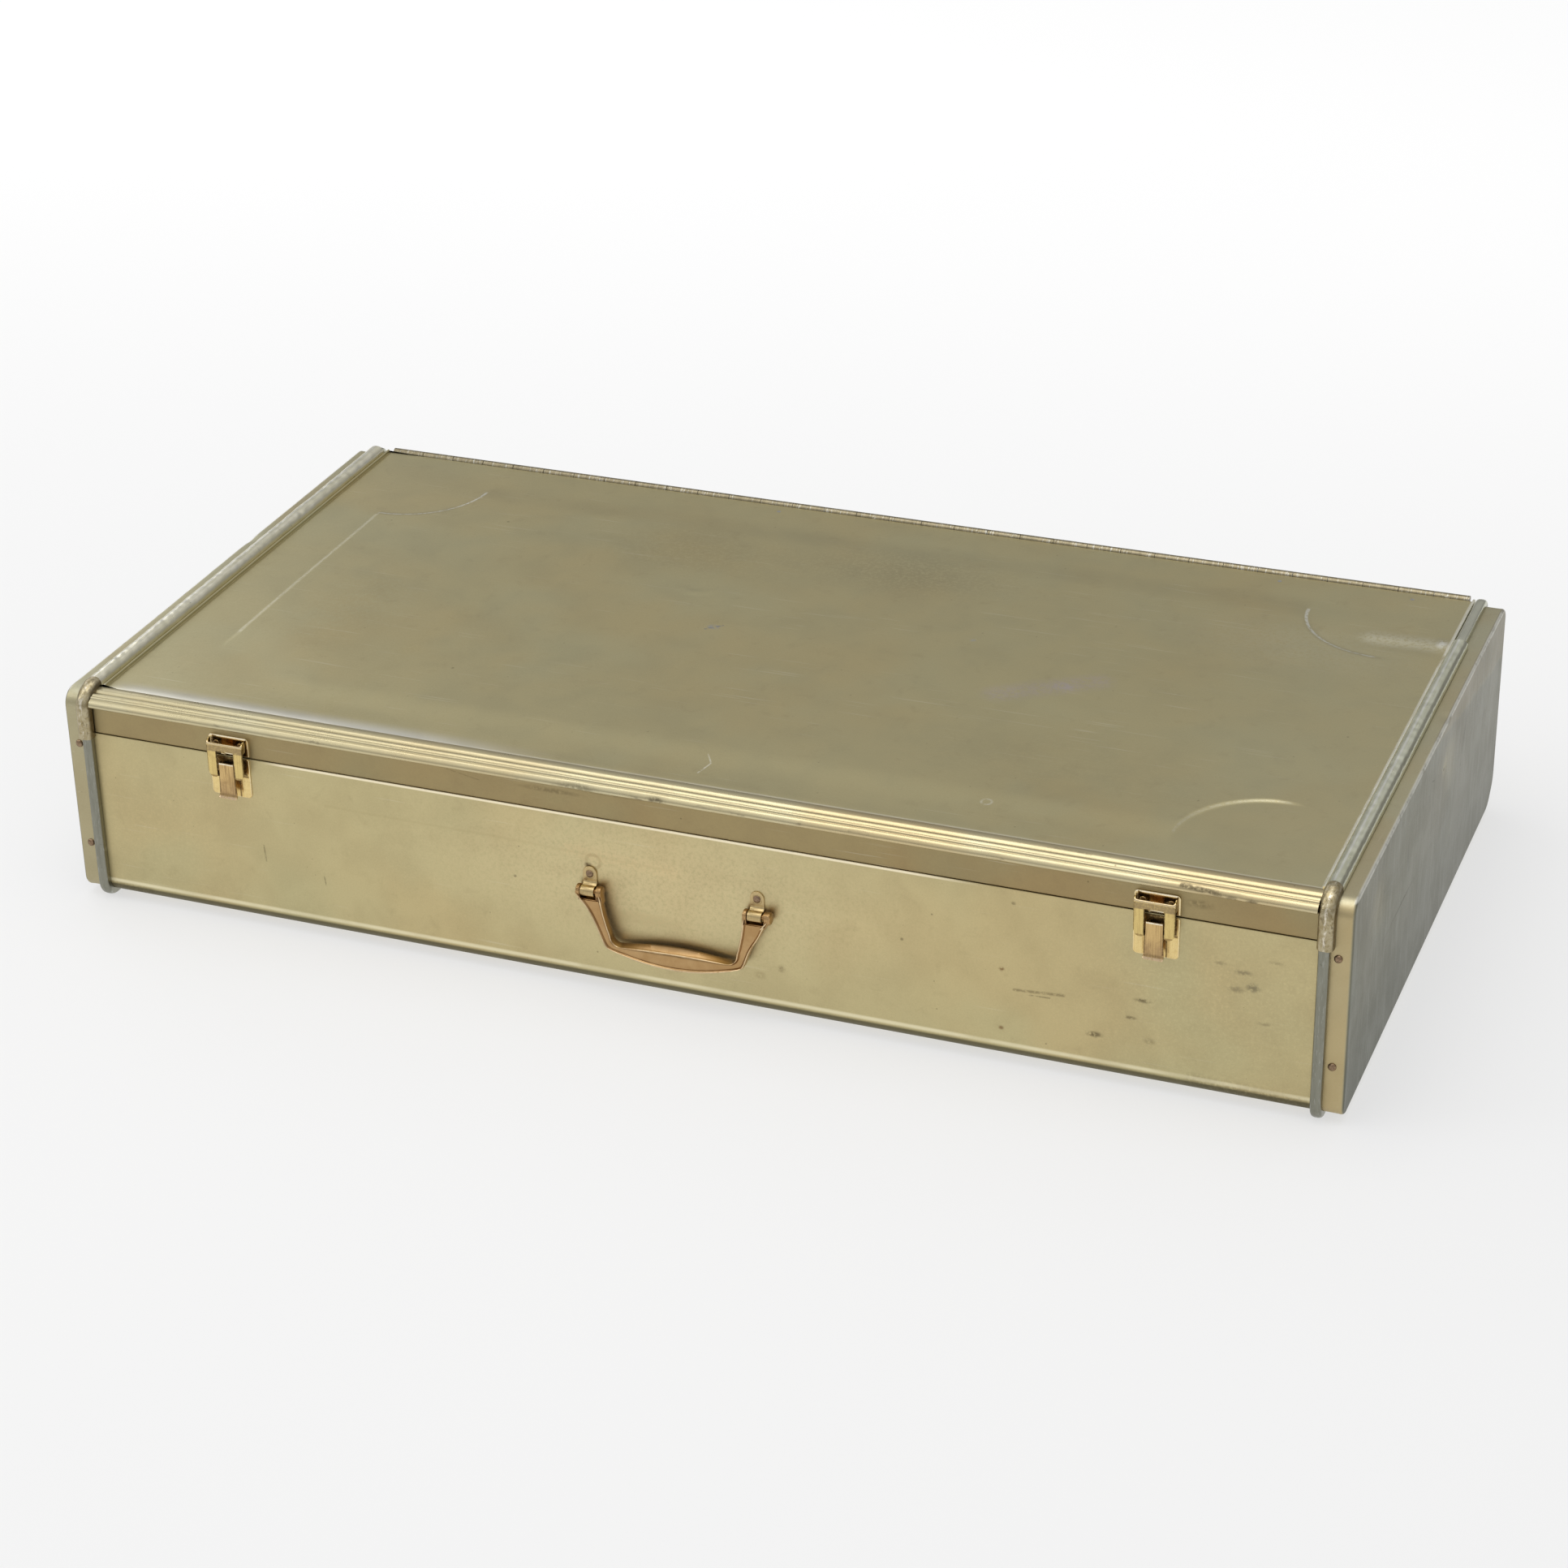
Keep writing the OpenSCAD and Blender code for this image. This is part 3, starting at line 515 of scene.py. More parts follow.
front_marks = [
    (spot((-10, 0, 78), (230, 40, 80), 0.0), (0.88, 0.71, 0.42), 0.30, 0.0),
    (spot((345, 0, 70), (170, 40, 120), 0.0), (0.40, 0.33, 0.18), 0.30, 0.0),
    (spot((-360, 0, 60), (110, 40, 120), 0.0), (0.40, 0.34, 0.19), 0.22, 0.0),
    (stroke((-284, 0, 56), (-283, 0, 45), 0.25), DARK, 0.45, 0.1),
    (stroke((-242, 0, 41), (-241, 0, 34), 0.25), DARK, 0.35, 0.1),
    (stroke((219, 0, 49), (250, 0, 51), 0.3, 1.2), DARK, 0.36, 0.15),
    (stroke((228, 0, 47), (241, 0, 47.5), 0.25), DARK, 0.4, 0.1),
    (spot((298, 0, 57), (7, 6, 2.2)), DARK, 0.55, 0.15),
    (spot((291, 0, 44), (5, 6, 1.6)), DARK, 0.5, 0.15),
    (spot((269, 0, 28), (7, 6, 3.0)), DARK, 0.62, 0.2),
    (spot((303, 0, 30), (5, 6, 3.0)), DARK, 0.25, 0.1),
    (spot((358, 0, 88), (8, 6, 2.6)), (0.20, 0.17, 0.11), 0.50, 0.12),
    (spot((364, 0, 79), (6, 6, 4.4)), (0.17, 0.15, 0.10), 0.62, 0.12),
    (spot((354, 0, 76), (7, 6, 3.0)), (0.22, 0.19, 0.12), 0.42, 0.10),
    (spot((344, 0, 92), (5, 6, 2.0)), (0.24, 0.20, 0.12), 0.40, 0.10),
    (spot((372, 0, 56), (6, 6, 1.8)), (0.24, 0.20, 0.12), 0.40, 0.10),
    (spot((377, 0, 98), (6, 6, 1.6)), (0.24, 0.20, 0.12), 0.35, 0.10),
    (spot((211, 0, 62), (2.6, 6, 2.2)), (0.22, 0.12, 0.05), 0.8, 0.1),
    (spot((211, 0, 21), (2.4, 6, 2.0)), (0.22, 0.12, 0.05), 0.7, 0.1),
    (spot((218, 0, 108), (2.2, 6, 1.6)), DARK, 0.5, 0.1),
    (spot((148, 0, 70), (1.6, 6, 1.6)), DARK, 0.5, 0.1),
    (spot((70, 0, 34), (3.4, 6, 3.6)), (0.25, 0.19, 0.10), 0.5, 0.1),
    (spot((-107, 0, 66.5), (1.6, 6, 1.4)), DARK, 0.6, 0.1),
    (spot((56, 0, 27), (6, 6, 4)), (0.30, 0.22, 0.11), 0.35, 0.05),
    (ringspot((-53.0, 0, 86.6), 4.7, 1.5, 1), (0.34, 0.25, 0.12), 0.34, 0.1),
    (spot((-56.6, 0, 83.6), (3.5, 6, 2.6)), (0.12, 0.08, 0.04), 0.75, 0.1),
    (spot((-20, 0, 52), (34, 6, 7)), (0.40, 0.28, 0.13), 0.18, 0.02),
    (stroke((-70, 0, 92.5), (0, 0, 88.5), 2.0, 5), (0.72, 0.55, 0.30), 0.25, 0.0),
    (stroke((-237, 0, 93), (-120, 0, 92.5), 0.3, 1.2), (0.40, 0.33, 0.16), 0.20, 0.0),
    (stroke((-120, 0, 92.5), (0, 0, 89.5), 0.3, 1.2), (0.40, 0.33, 0.16), 0.16, 0.0),
    (stroke((-400, 0, 3.5), (400, 0, 3.5), 1.0, 4.5), (0.42, 0.37, 0.20), 0.35, 0.04),
    (stroke((330, 0, 8), (404, 0, 5), 1.5, 6), (0.18, 0.13, 0.07), 0.30, 0.1),
    (stroke((-400, 0, 8), (-372, 0, 5), 1.0, 5), (0.18, 0.13, 0.07), 0.25, 0.1),
]

# pale colour for painted highlights on the emboss lines
EMB_HIGHLIGHT = (0.88, 0.86, 0.74)


def arc_highlight(c, r, w):
    """Quarter of a ring on the lid, on the side towards its middle; a mask for painted highlights on the emboss arcs.
    """
    def mk(N):
        m = N.ringmask(c, r, w, 2)
        x = N.math("MULTIPLY", N.axis(0), 1.0 if c[0] > 0 else -1.0)
        m = N.math("MULTIPLY", m, N.mapr(x, abs(c[0]) + 2.0, abs(c[0]) - 2.0))
        k = 1 if c[1] < 200 else -1
        return N.math("MULTIPLY", m, N.mapr(N.axis(1), c[1] - 2.0 * k, c[1] + 2.0 * k))
    return mk


top_marks = [
    # painted highlights along the emboss arcs and the left emboss line
    (arc_highlight((-356, 378, LT), 57, 1.6), (1.0, 1.0, 0.92), 0.75, -0.05),
    (arc_highlight((356, 378, LT), 57, 1.5), (1.0, 1.0, 0.92), 0.70, -0.05),
    (arc_highlight((356, 52, LT), 57, 1.2), EMB_HIGHLIGHT, 0.20, -0.03),
    (stroke((-356, 116, LT), (-356, 318, LT), 0.9, 1.4), EMB_HIGHLIGHT, 0.42, -0.03),
    (spot((-262, 335, LT), (1.6, 1.6, 6)), DARK, 0.8, 0.1),
    (spot((-198, 111, LT), (1.6, 1.4, 6)), DARK, 0.8, 0.1),
    (spot((-341, 311, LT), (1.2, 1.2, 6)), DARK, 0.6, 0.1),
    (spot((303, 93, LT), (1.2, 1.2, 6)), DARK, 0.6, 0.1),
    (spot((367, 205, LT), (1.2, 1.2, 6)), DARK, 0.6, 0.1),
    (spot((-62, 223, LT), (6, 5, 6)), (0.30, 0.32, 0.36), 0.75, 0.1),
    (stroke((-66, 219, LT), (-57, 227, LT), 0.5, 1.2), (0.16, 0.17, 0.22), 0.7, 0.1),
    (spot((106, 258, LT), (3, 3, 6)), (0.34, 0.36, 0.40), 0.6, 0.1),
    (stroke((146, 190, LT), (200, 225, LT), 3, 13), (0.44, 0.38, 0.38), 0.42, 0.05),
    (spot((182, 212, LT), (12, 9, 6)), (0.40, 0.36, 0.40), 0.5, 0.05),
    (ringspot((184, 51, LT + 0.3), 3.2, 1.0, 2), PALE, 0.40, 0.0),
    # painted highlight on the knock beside the right tube and along the crease running in from it
    (spot((393.5, 352, LT + 0.8), (5, 8, 4)), (0.97, 0.96, 0.90), 0.75, -0.03),
    (stroke((350, 349, LT), (392, 350, LT), 1.5, 13.0), (0.88, 0.87, 0.74), 0.34, -0.02),
    (stroke((3, 54, LT), (9, 44, LT), 0.3, 0.5), PALE, 0.55, 0.05),
    (stroke((9, 44, LT), (6, 30, LT), 0.3, 0.5), PALE, 0.55, 0.05),
    (stroke((-164, 274, LT), (-142, 293, LT), 0.25, 0.4), PALE, 0.5, 0.05),
    (stroke((-160, 290, LT), (-146, 278, LT), 0.25, 0.4), PALE, 0.4, 0.05),
    (stroke((-152, 296, LT), (-138, 284, LT), 0.2, 0.4), PALE, 0.35, 0.05),
    (stroke((-12, 369, LT), (75, 304, LT), 0.2, 0.4), PALE, 0.30, 0.0),
    (stroke((-251, 22, LT), (-236, 130, LT), 1.5, 8), (0.34, 0.28, 0.14), 0.12, 0.03),
    (stroke((-236, 130, LT), (-224, 239, LT), 2, 12), (0.34, 0.28, 0.14), 0.10, 0.03),
    (stroke((-190, 196, LT), (-168, 203, LT), 0.2, 0.4), PALE, 0.35, 0.0),
    (stroke((40, 120, LT), (62, 150, LT), 0.2, 0.4), PALE, 0.25, 0.0),
    (stroke((120, 150, LT), (150, 128, LT), 0.2, 0.4), PALE, 0.25, 0.0),
    (spot((-120, 330, LT), (110, 60, 9), 0.0), (0.33, 0.26, 0.13), 0.32, 0.03),
    (spot((30, 345, LT), (120, 55, 9), 0.0), (0.26, 0.21, 0.12), 0.35, 0.03),
    (spot((-300, 180, LT), (60, 120, 9), 0.0), (0.44, 0.33, 0.15), 0.28, 0.0),
    (spot((310, 320, LT), (120, 60, 9), 0.0), (0.72, 0.71, 0.55), 0.16, -0.02),
    (spot((220, 110, LT), (190, 70, 9), 0.0), (0.42, 0.36, 0.20), 0.22, 0.0),
]

end_marks = [
    (stroke((END, 208, 120), (END, 214, 118), 0.4), DARK, 0.8, 0.1),
    (spot((END, 246, 110), (6, 3, 1.6)), DARK, 0.8, 0.1),
    (spot((END, 298, 88), (6, 2.4, 2)), DARK, 0.7, 0.1),
    (stroke((END, 60, 108), (END, 130, 104), 0.3, 0.8), (0.80, 0.80, 0.74), 0.30, 0.0),
    (stroke((END, 330, 50), (END, 400, 58), 0.3, 0.8), (0.80, 0.80, 0.74), 0.30, 0.0),
]


def patina(N, col, ro, h):
    """Brown film over the upper rear of the right end face, with a ragged lower edge."""
    x, y, z = N.axis(0), N.axis(1), N.axis(2)
    # lower border falls from z = 142 at y = 206 to z = 108 at the back
    edge = N.math("MULTIPLY_ADD", N.math("SUBTRACT", y, 206.0), -0.165, 142.0)
    edge = N.math("MULTIPLY_ADD", N.noise(16, 3.0, 0.6), 12.0, N.math("SUBTRACT", edge, 6.0))
    m = N.mapr(N.math("SUBTRACT", z, edge), -1.5, 5.0)
    side = N.math("GREATER_THAN", x, END - 2.4)
    m = N.math("MULTIPLY", N.math("MULTIPLY", m, side), N.mapr(y, 200, 222))
    col = N.mix(N.math("MULTIPLY", m, 0.62), col, (0.19, 0.15, 0.085))
    # grey over the whole end faces, darker towards the bottom
    face = N.mapr(N.math("ABSOLUTE", x), END - 2.0, END - 0.4)
    low = N.mapr(z, 100.0, 10.0)
    grey = N.math("MULTIPLY", N.math("MULTIPLY_ADD", low, 0.12, 0.80), face)
    grey = N.math("MULTIPLY", grey, N.math("SUBTRACT", 1.0, N.math("MULTIPLY", m, 0.6)))
    col = N.mix(grey, col, (0.127, 0.134, 0.110))
    back = N.math("MULTIPLY", N.mapr(y, 40.0, 330.0), face)
    col = N.mix(N.math("MULTIPLY", back, 0.30), col, (0.385, 0.370, 0.325))
    # painted highlight along the top edge of the end faces
    lip = N.math("MULTIPLY", N.mapr(z, CAP - 2.4, CAP - 0.8), N.mapr(N.math("ABSOLUTE", x), END - 2.6, END - 1.2))
    lip = N.math("MULTIPLY", lip, N.mapr(N.noise(9, 3.0, 0.6, stretch=(1, 0.5, 1), loc=(7, 7, 1)), 0.22, 0.5))
    col = N.mix(N.math("MULTIPLY", lip, 0.75), col, (0.93, 0.92, 0.84))
    streak = N.noise(5.0, 3.0, 0.6, 0.4, stretch=(1, 1.0, 0.12))
    col = N.mix(N.math("MULTIPLY", N.math("MULTIPLY", N.mapr(streak, 0.48, 0.72), face), 0.16), col, (0.46, 0.47, 0.43))
    smear = N.noise(9.0, 3.0, 0.65, 0.6, stretch=(1, 1.2, 0.35), loc=(4, 8, 1))
    smear = N.math("MULTIPLY", N.math("MULTIPLY", N.mapr(smear, 0.52, 0.70), face), N.mapr(z, 50.0, 115.0))
    col = N.mix(N.math("MULTIPLY", smear, 0.26), col, (0.085, 0.080, 0.062))
    ro = N.math("MULTIPLY_ADD", face, 0.04, ro)
    # the front of the boxes keeps its gold, most of all on the right
    fl = N.math("MULTIPLY", N.mapr(y, 6.0, 2.0), N.math("SUBTRACT", 1.0, face))
    fl = N.math("MULTIPLY", fl, N.math("MULTIPLY_ADD", N.mapr(x, -1.0, 1.0), 0.50, 0.22))
    col = N.mix(fl, col, (0.485, 0.375, 0.185))
    fl = N.math("MULTIPLY", N.mapr(y, 6.0, 2.0), N.mapr(x, 1.0, -1.0))
    col = N.mix(N.math("MULTIPLY", fl, 0.38), col, (0.330, 0.305, 0.190))
    return col, ro, h


def lid_extra(N, col, ro, h):
    """Painted reflection along the rail on the left, painted highlight line just behind the rail, painted highlight on
    the bead beside the right tube.
    """
    x, y, z = N.axis(0), N.axis(1), N.axis(2)
    top = N.mapr(z, LT - 1.6, LT - 1.1)
    # painted reflection: a pale band along the rail on the left
    near = N.mapr(y, RAIL + 17.0, RAIL + 1.0)
    win = N.math("MULTIPLY", N.mapr(x, -404.0, -372.0), N.mapr(x, -70.0, -210.0))
    near = N.math("MULTIPLY", N.math("MULTIPLY", N.math("POWER", near, 1.6), win), top)
    col = N.mix(N.math("MULTIPLY", near, 0.60), col, (0.99, 0.985, 0.95))
    ro = N.math("MULTIPLY_ADD", near, -0.06, ro)
    # painted highlight line just behind the rail
    thin = N.math("MULTIPLY", N.mapr(y, RAIL + 2.6, RAIL + 0.6), top)
    col = N.mix(N.math("MULTIPLY", thin, 0.40), col, (0.97, 0.94, 0.82))
    # painted highlight on the bead beside the right tube
    bead = N.mapr(x, LX - 3.4, LX - 2.0)
    brk = N.mapr(N.noise(11, 3.0, 0.6, stretch=(1, 0.4, 1), loc=(6, 2, 6)), 0.20, 0.50)
    col = N.mix(N.math("MULTIPLY", N.math("MULTIPLY", bead, brk), 0.85), col, (0.98, 0.96, 0.86))
    # lighter towards the two ends
    ends = N.mapr(N.math("ABSOLUTE", x), 210.0, 420.0)
    col = N.mix(N.math("MULTIPLY", ends, 0.06), col, (0.80, 0.78, 0.62))
    return col, ro, h


def body_extra(N, col, ro, h):
    """Painted highlight line over the lower bend, painted shade on the bend under it, painted highlight on the upper
    edge, painted shade beside the rims.
    """
    x, y, z = N.axis(0), N.axis(1), N.axis(2)
    fr = N.mapr(y, 9.0, 6.0)
    brk = N.mapr(N.noise(26, 3.0, 0.6, stretch=(0.5, 1, 1), loc=(2, 2, 2)), 0.25, 0.55)
    # painted shade on the lower part of the bend
    low = N.math("MULTIPLY", N.mapr(z, R_F - 0.3, R_F - 2.4), fr)
    col = N.mix(N.math("MULTIPLY", low, 0.88), col, (0.105, 0.092, 0.050))
    # painted highlight line along the lower bend
    line = N.mapr(N.math("ABSOLUTE", N.math("SUBTRACT", z, R_F + 1.2)), 2.0, 0.3)
    line = N.math("MULTIPLY", N.math("MULTIPLY", line, fr), N.math("MULTIPLY_ADD", brk, 0.6, 0.4))
    col = N.mix(N.math("MULTIPLY", line, 0.70), col, (0.93, 0.86, 0.60))
    # painted highlight on the sheet's upper edge, between the latches
    top = N.math("MULTIPLY", N.mapr(z, SEAM - 2.3, SEAM - 1.3), fr)
    mid = N.math("MULTIPLY", N.mapr(x, -282.0, -262.0), N.mapr(x, 205.0, 150.0))
    top = N.math("MULTIPLY", top, mid)
    col = N.mix(N.math("MULTIPLY", top, 0.92), col, (1.0, 0.90, 0.66))
    # painted shade in the gap beside the rims
    gap = N.math("MULTIPLY", N.mapr(N.math("ABSOLUTE", x), RC - 4.4, RC - 2.6), fr)
    col = N.mix(N.math("MULTIPLY", gap, 0.90), col, (0.045, 0.036, 0.022))
    return col, ro, h


M_BODY = sheet_metal("gold_body_sheet", GOLD, GOLD_W, GOLD_C, 0.37, 1.0, front_marks, 0.05, 0.35, 1, 1.0, body_extra)
M_LID = sheet_metal("gold_lid_sheet", (0.536, 0.476, 0.270), (0.540, 0.465, 0.255), (0.528, 0.482, 0.284), 0.36, 0.9, top_marks, 0.045, 0.75, 2, 2.0, lid_extra, speck=0.6)
# the skirt is a darker copy of the body's gold: painted shade under the rail
M_SKIRT_SHADED = sheet_metal("gold_skirt_sheet_painted_shade", (0.368, 0.288, 0.142), (0.362, 0.268, 0.128), (0.344, 0.288, 0.150), 0.36, 1.3, [
    (spot((-40, 0, 136), (40, 6, 3)), DARK, 0.35, 0.1), (stroke((-150, 0, 134), (-128, 0, 130), 0.3), DARK, 0.5, 0.1),
    (spot((-80, 0, 131), (30, 6, 2.4)), DARK, 0.30, 0.1), (spot((330, 0, 128), (12, 6, 4)), DARK, 0.3, 0.1)], 0.05, 0.5, 1, 3.0)
M_END = sheet_metal("gold_end_sheet", (0.545, 0.505, 0.335), (0.53, 0.465, 0.295), (0.52, 0.51, 0.37), 0.38, 1.1, end_marks, 0.06, 0.7, 0, 4.0, patina)


def rail_extra(N, col, ro, h):
    # darker along the two grooves, dark scuffs along the nose
    y, z, x = N.axis(1), N.axis(2), N.axis(0)
    groove = N.math("MULTIPLY", N.mapr(N.math("ABSOLUTE", N.math("SUBTRACT", y, 5.6)), 0.2, 0.9, 1.0, 0.0), N.mapr(z, LT - 0.9, LT - 0.1))
    g2 = N.math("MULTIPLY", N.mapr(N.math("ABSOLUTE", N.math("SUBTRACT", y, 0.75)), 0.15, 0.7, 1.0, 0.0), N.mapr(z, LT - 1.4, LT - 0.3))
    col = N.mix(N.math("MULTIPLY", N.math("MAXIMUM", groove, g2), 0.55), col, (0.22, 0.17, 0.08))
    nose = N.mapr(y, -2.5, -4.0)
    sc = N.mapr(N.noise(9, 4.0, 0.7, 0.4, stretch=(0.35, 1, 1), loc=(3, 1, 4)), 0.60, 0.72)
    col = N.mix(N.math("MULTIPLY", N.math("MULTIPLY", nose, sc), 0.55), col, (0.16, 0.13, 0.09))
    ch = N.mapr(N.noise(5, 4.0, 0.7, stretch=(0.5, 1, 1), loc=(8, 9, 4)), 0.64, 0.74)
    col = N.mix(N.math("MULTIPLY", ch, 0.22), col, (0.30, 0.22, 0.12))
    return col, ro, h


M_RAIL = sheet_metal("gold_rail_metal", (0.62, 0.545, 0.335), (0.61, 0.50, 0.285), (0.60, 0.555, 0.37), 0.25, 0.8, [
    (spot((-60, -4, 139), (20, 5, 3)), DARK, 0.5, 0.15), (spot((-8, -4, 139), (9, 5, 2.6)), DARK, 0.7, 0.15),
    (stroke((320, -3, 141), (352, -3, 138), 0.8, 1.5), DARK, 0.7, 0.15), (spot((362, -3, 138), (6, 5, 2.4)), DARK, 0.7, 0.1),
    (stroke((240, 9, LT + 1), (262, 8.2, LT + 1), 0.5, 1.0), DARK, 0.35, 0.1),
], 0.02, 0.10, 2, 5.0, rail_extra)


def silver(name, base, streaky, seed, gold=0.0):
    """Bare aluminium rims and tubes: grey with greenish and white streaks along, nicked and dulled."""
    N = Nodes(name)
    y, z = N.axis(1), N.axis(2)
    s1 = N.noise(5.5, 3.0, 0.65, 0.3, stretch=(2.2, 0.16, 0.16), loc=(seed, 0, 0))
    s2 = N.noise(1.6, 2.0, 0.6, 0.2, stretch=(2.0, 0.22, 0.22), loc=(0, seed, 0))
    col = N.mix(N.mapr(s1, 0.36, 0.66), base, streaky)
    col = N.mix(N.math("MULTIPLY", N.mapr(s2, 0.55, 0.72), 0.45), col, (0.80, 0.82, 0.78))
    pit = N.mapr(N.noise(2.4, 4.0, 0.75, 0.6, loc=(seed, 9, 2)), 0.60, 0.72)
    col = N.mix(N.math("MULTIPLY", pit, 0.45), col, (0.13, 0.12, 0.09))
    chip = N.mapr(N.noise(7.5, 4.0, 0.7, 0.5, loc=(seed * 3, 1, 2)), 0.62, 0.70)
    col = N.mix(N.math("MULTIPLY", chip, 0.4), col, (0.66, 0.63, 0.52))
    ro = N.math("MULTIPLY_ADD", s1, 0.16, 0.24)
    ro = N.math("MULTIPLY_ADD", pit, 0.15, ro)
    h = N.math("MULTIPLY_ADD", pit, -0.8, N.math("MULTIPLY_ADD", s2, 0.4, N.math("MULTIPLY", chip, 0.6)))
    if gold == 3.0:
        # the bare stretch on top is lighter, the front is darker
        bare = N.math("MULTIPLY", N.mapr(z, CAP - 1.0, CAP + 1.0), N.mapr(y, 30.0, 60.0))
        col = N.mix(N.math("MULTIPLY", bare, 0.75), col, (0.70, 0.70, 0.57))
        col = N.mix(N.math("MULTIPLY", N.mapr(y, 1.0, -1.0), 0.58), col, (0.170, 0.168, 0.130))
    elif gold:
        # painted highlight line near the crest of the tube, painted shade line beside it where the tube meets the lid
        # or the end box
        ax = N.math("ABSOLUTE", N.axis(0))
        mid = (LX + RO + 2.3) / 2
        ln = N.mapr(N.math("ABSOLUTE", N.math("SUBTRACT", ax, mid + (1.3 if gold == 1 else -0.9))), 1.0, 0.25)
        dk = N.mapr(N.math("ABSOLUTE", N.math("SUBTRACT", ax, mid + (-3.6 if gold == 1 else 3.7))), 1.5, 0.4)
        col = N.mix(N.math("MULTIPLY", dk, 0.16 if gold == 1 else 0.52), col, (0.17, 0.15, 0.10))
        col = N.mix(N.math("MULTIPLY", ln, 0.7), col, (0.97, 0.96, 0.90))
    return N.done(col, ro, 1.0, N.bump(h, 0.65, 0.12))


M_RIM = silver("rim_aluminium", (0.300, 0.297, 0.247), (0.395, 0.392, 0.330), 1.0, 3.0)
M_TUBE = silver("tube_aluminium", (0.700, 0.700, 0.530), (0.800, 0.805, 0.650), 5.0, 2.0)
M_TUBE_L = silver("tube_aluminium_gold", (0.820, 0.780, 0.590), (0.900, 0.860, 0.700), 15.0, 1.0)


def corner_material():
    """Rubbed gold corner pieces: warm and pale patches, dark creases."""
    N = Nodes("corner_scuffed_gold")
    n1 = N.noise(4.5, 4.0, 0.7, 0.8)
    col = N.mix(N.mapr(n1, 0.35, 0.62), (0.34, 0.275, 0.150), (0.47, 0.41, 0.27))
    cr = N.mapr(N.noise(3.0, 4.0, 0.75, 1.2, stretch=(1.6, 0.8, 0.8), loc=(4, 4, 4)), 0.58, 0.70)
    col = N.mix(N.math("MULTIPLY", cr, 0.60), col, (0.15, 0.11, 0.06))
    # painted highlight along the crest, painted shade at the sides against its neighbours
    ax = N.math("ABSOLUTE", N.axis(0))
    cxx = (LX + RO + 2.3) / 2
    cre = N.mapr(N.math("ABSOLUTE", N.math("SUBTRACT", ax, cxx + 0.3)), 2.1, 0.5)
    br = N.mapr(N.noise(1.8, 3.0, 0.7, stretch=(1, 0.6, 0.35), loc=(1, 2, 9)), 0.50, 0.66)
    col = N.mix(N.math("MULTIPLY", N.math("MULTIPLY", br, cre), 0.75), col, (0.86, 0.80, 0.68))
    col = N.mix(N.math("MULTIPLY", N.mapr(N.math("ABSOLUTE", N.math("SUBTRACT", ax, cxx)), (RO + 2.3 - LX) / 2 - 1.3, (RO + 2.3 - LX) / 2 - 0.3), 0.62), col, (0.085, 0.062, 0.035))
    ro = N.math("MULTIPLY_ADD", n1, 0.18, 0.24)
    h = N.math("MULTIPLY_ADD", cr, -0.8, N.math("MULTIPLY", n1, 0.7))
    return N.done(col, ro, 1.0, N.bump(h, 0.8, 0.35))


M_CORNER = corner_material()


def brass(name, base, rough, brushed, seed, tarnish=1.0, parts=()):
    """Old brass plate: brushed up and down, brown tarnish in clouds; the parts paint shade along the folds and
    highlights on edges.
    parts: (mask maker, colour, strength, roughness change)"""
    N = Nodes(name)
    br = N.noise(1.3, 2.0, 0.6, 0.1, stretch=(1.6, 1, 0.07), loc=(seed, 1, 0))
    cl = N.noise(9.0, 4.0, 0.65, 0.5, loc=(seed, seed, 3))
    fine = N.noise(0.7, 2.0, 0.6, loc=(seed, 2, 2))
    col = N.mix(N.math("MULTIPLY", N.mapr(br, 0.42, 0.68), brushed), base, (0.30, 0.19, 0.085))
    col = N.mix(N.math("MULTIPLY", N.mapr(cl, 0.50, 0.74), 0.45 * tarnish), col, (0.30, 0.175, 0.070))
    col = N.mix(N.math("MULTIPLY", N.mapr(fine, 0.60, 0.76), 0.22), col, (0.14, 0.08, 0.03))
    ro = N.math("MULTIPLY_ADD", N.mapr(cl, 0.4, 0.75), 0.12, rough)
    ro = N.math("MULTIPLY_ADD", N.mapr(br, 0.4, 0.7), 0.06, ro)
    h = N.math("MULTIPLY_ADD", br, 0.5, N.math("MULTIPLY", fine, 0.15))
    brk = N.math("MULTIPLY_ADD", N.mapr(N.noise(1.6, 3.0, 0.65, loc=(seed, 5, 7)), 0.32, 0.56), 0.45, 0.55)
    for mk, c, k, dr in parts:
        m = N.math("MULTIPLY", mk(N), brk)
        col = N.mix(N.math("MULTIPLY", m, k), col, c)
        if dr:
            ro = N.math("MULTIPLY_ADD", m, dr, ro)
    return N.done(col, ro, 1.0, N.bump(h, 0.5, 0.035))


LXL = [(box("latch_base_" + q)[0][0] + box("latch_base_" + q)[1][0]) / 2 for q in ("left", "right")]


def lat_u(N):
    """Signed distance from the middle of the nearer latch, and its size."""
    x = N.axis(0)
    d0, d1 = N.math("SUBTRACT", x, LXL[0]), N.math("SUBTRACT", x, LXL[1])
    left = N.math("LESS_THAN", x, 0.0)
    sg = N.math("ADD", N.math("MULTIPLY", d0, left), N.math("MULTIPLY", d1, N.math("SUBTRACT", 1.0, left)))
    return sg, N.math("ABSOLUTE", sg)


def band(u0=None, u1=None, z0=None, z1=None, y0=None, y1=None, soft=0.35, signed=False):
    """Soft window in the latch's own width, height above the seam, and depth."""
    def mk(N):
        out = None
        sg, ab = lat_u(N)
        for v, lo, hi in ((sg if signed else ab, u0, u1), (N.math("SUBTRACT", N.axis(2), SEAM), z0, z1), (N.axis(1), y0, y1)):
            for lim, sgn in ((lo, 1), (hi, -1)):
                if lim is None:
                    continue
                m = N.mapr(v, lim - sgn * soft, lim + sgn * soft)
                out = m if out is None else N.math("MULTIPLY", out, m)
        return out
    return mk
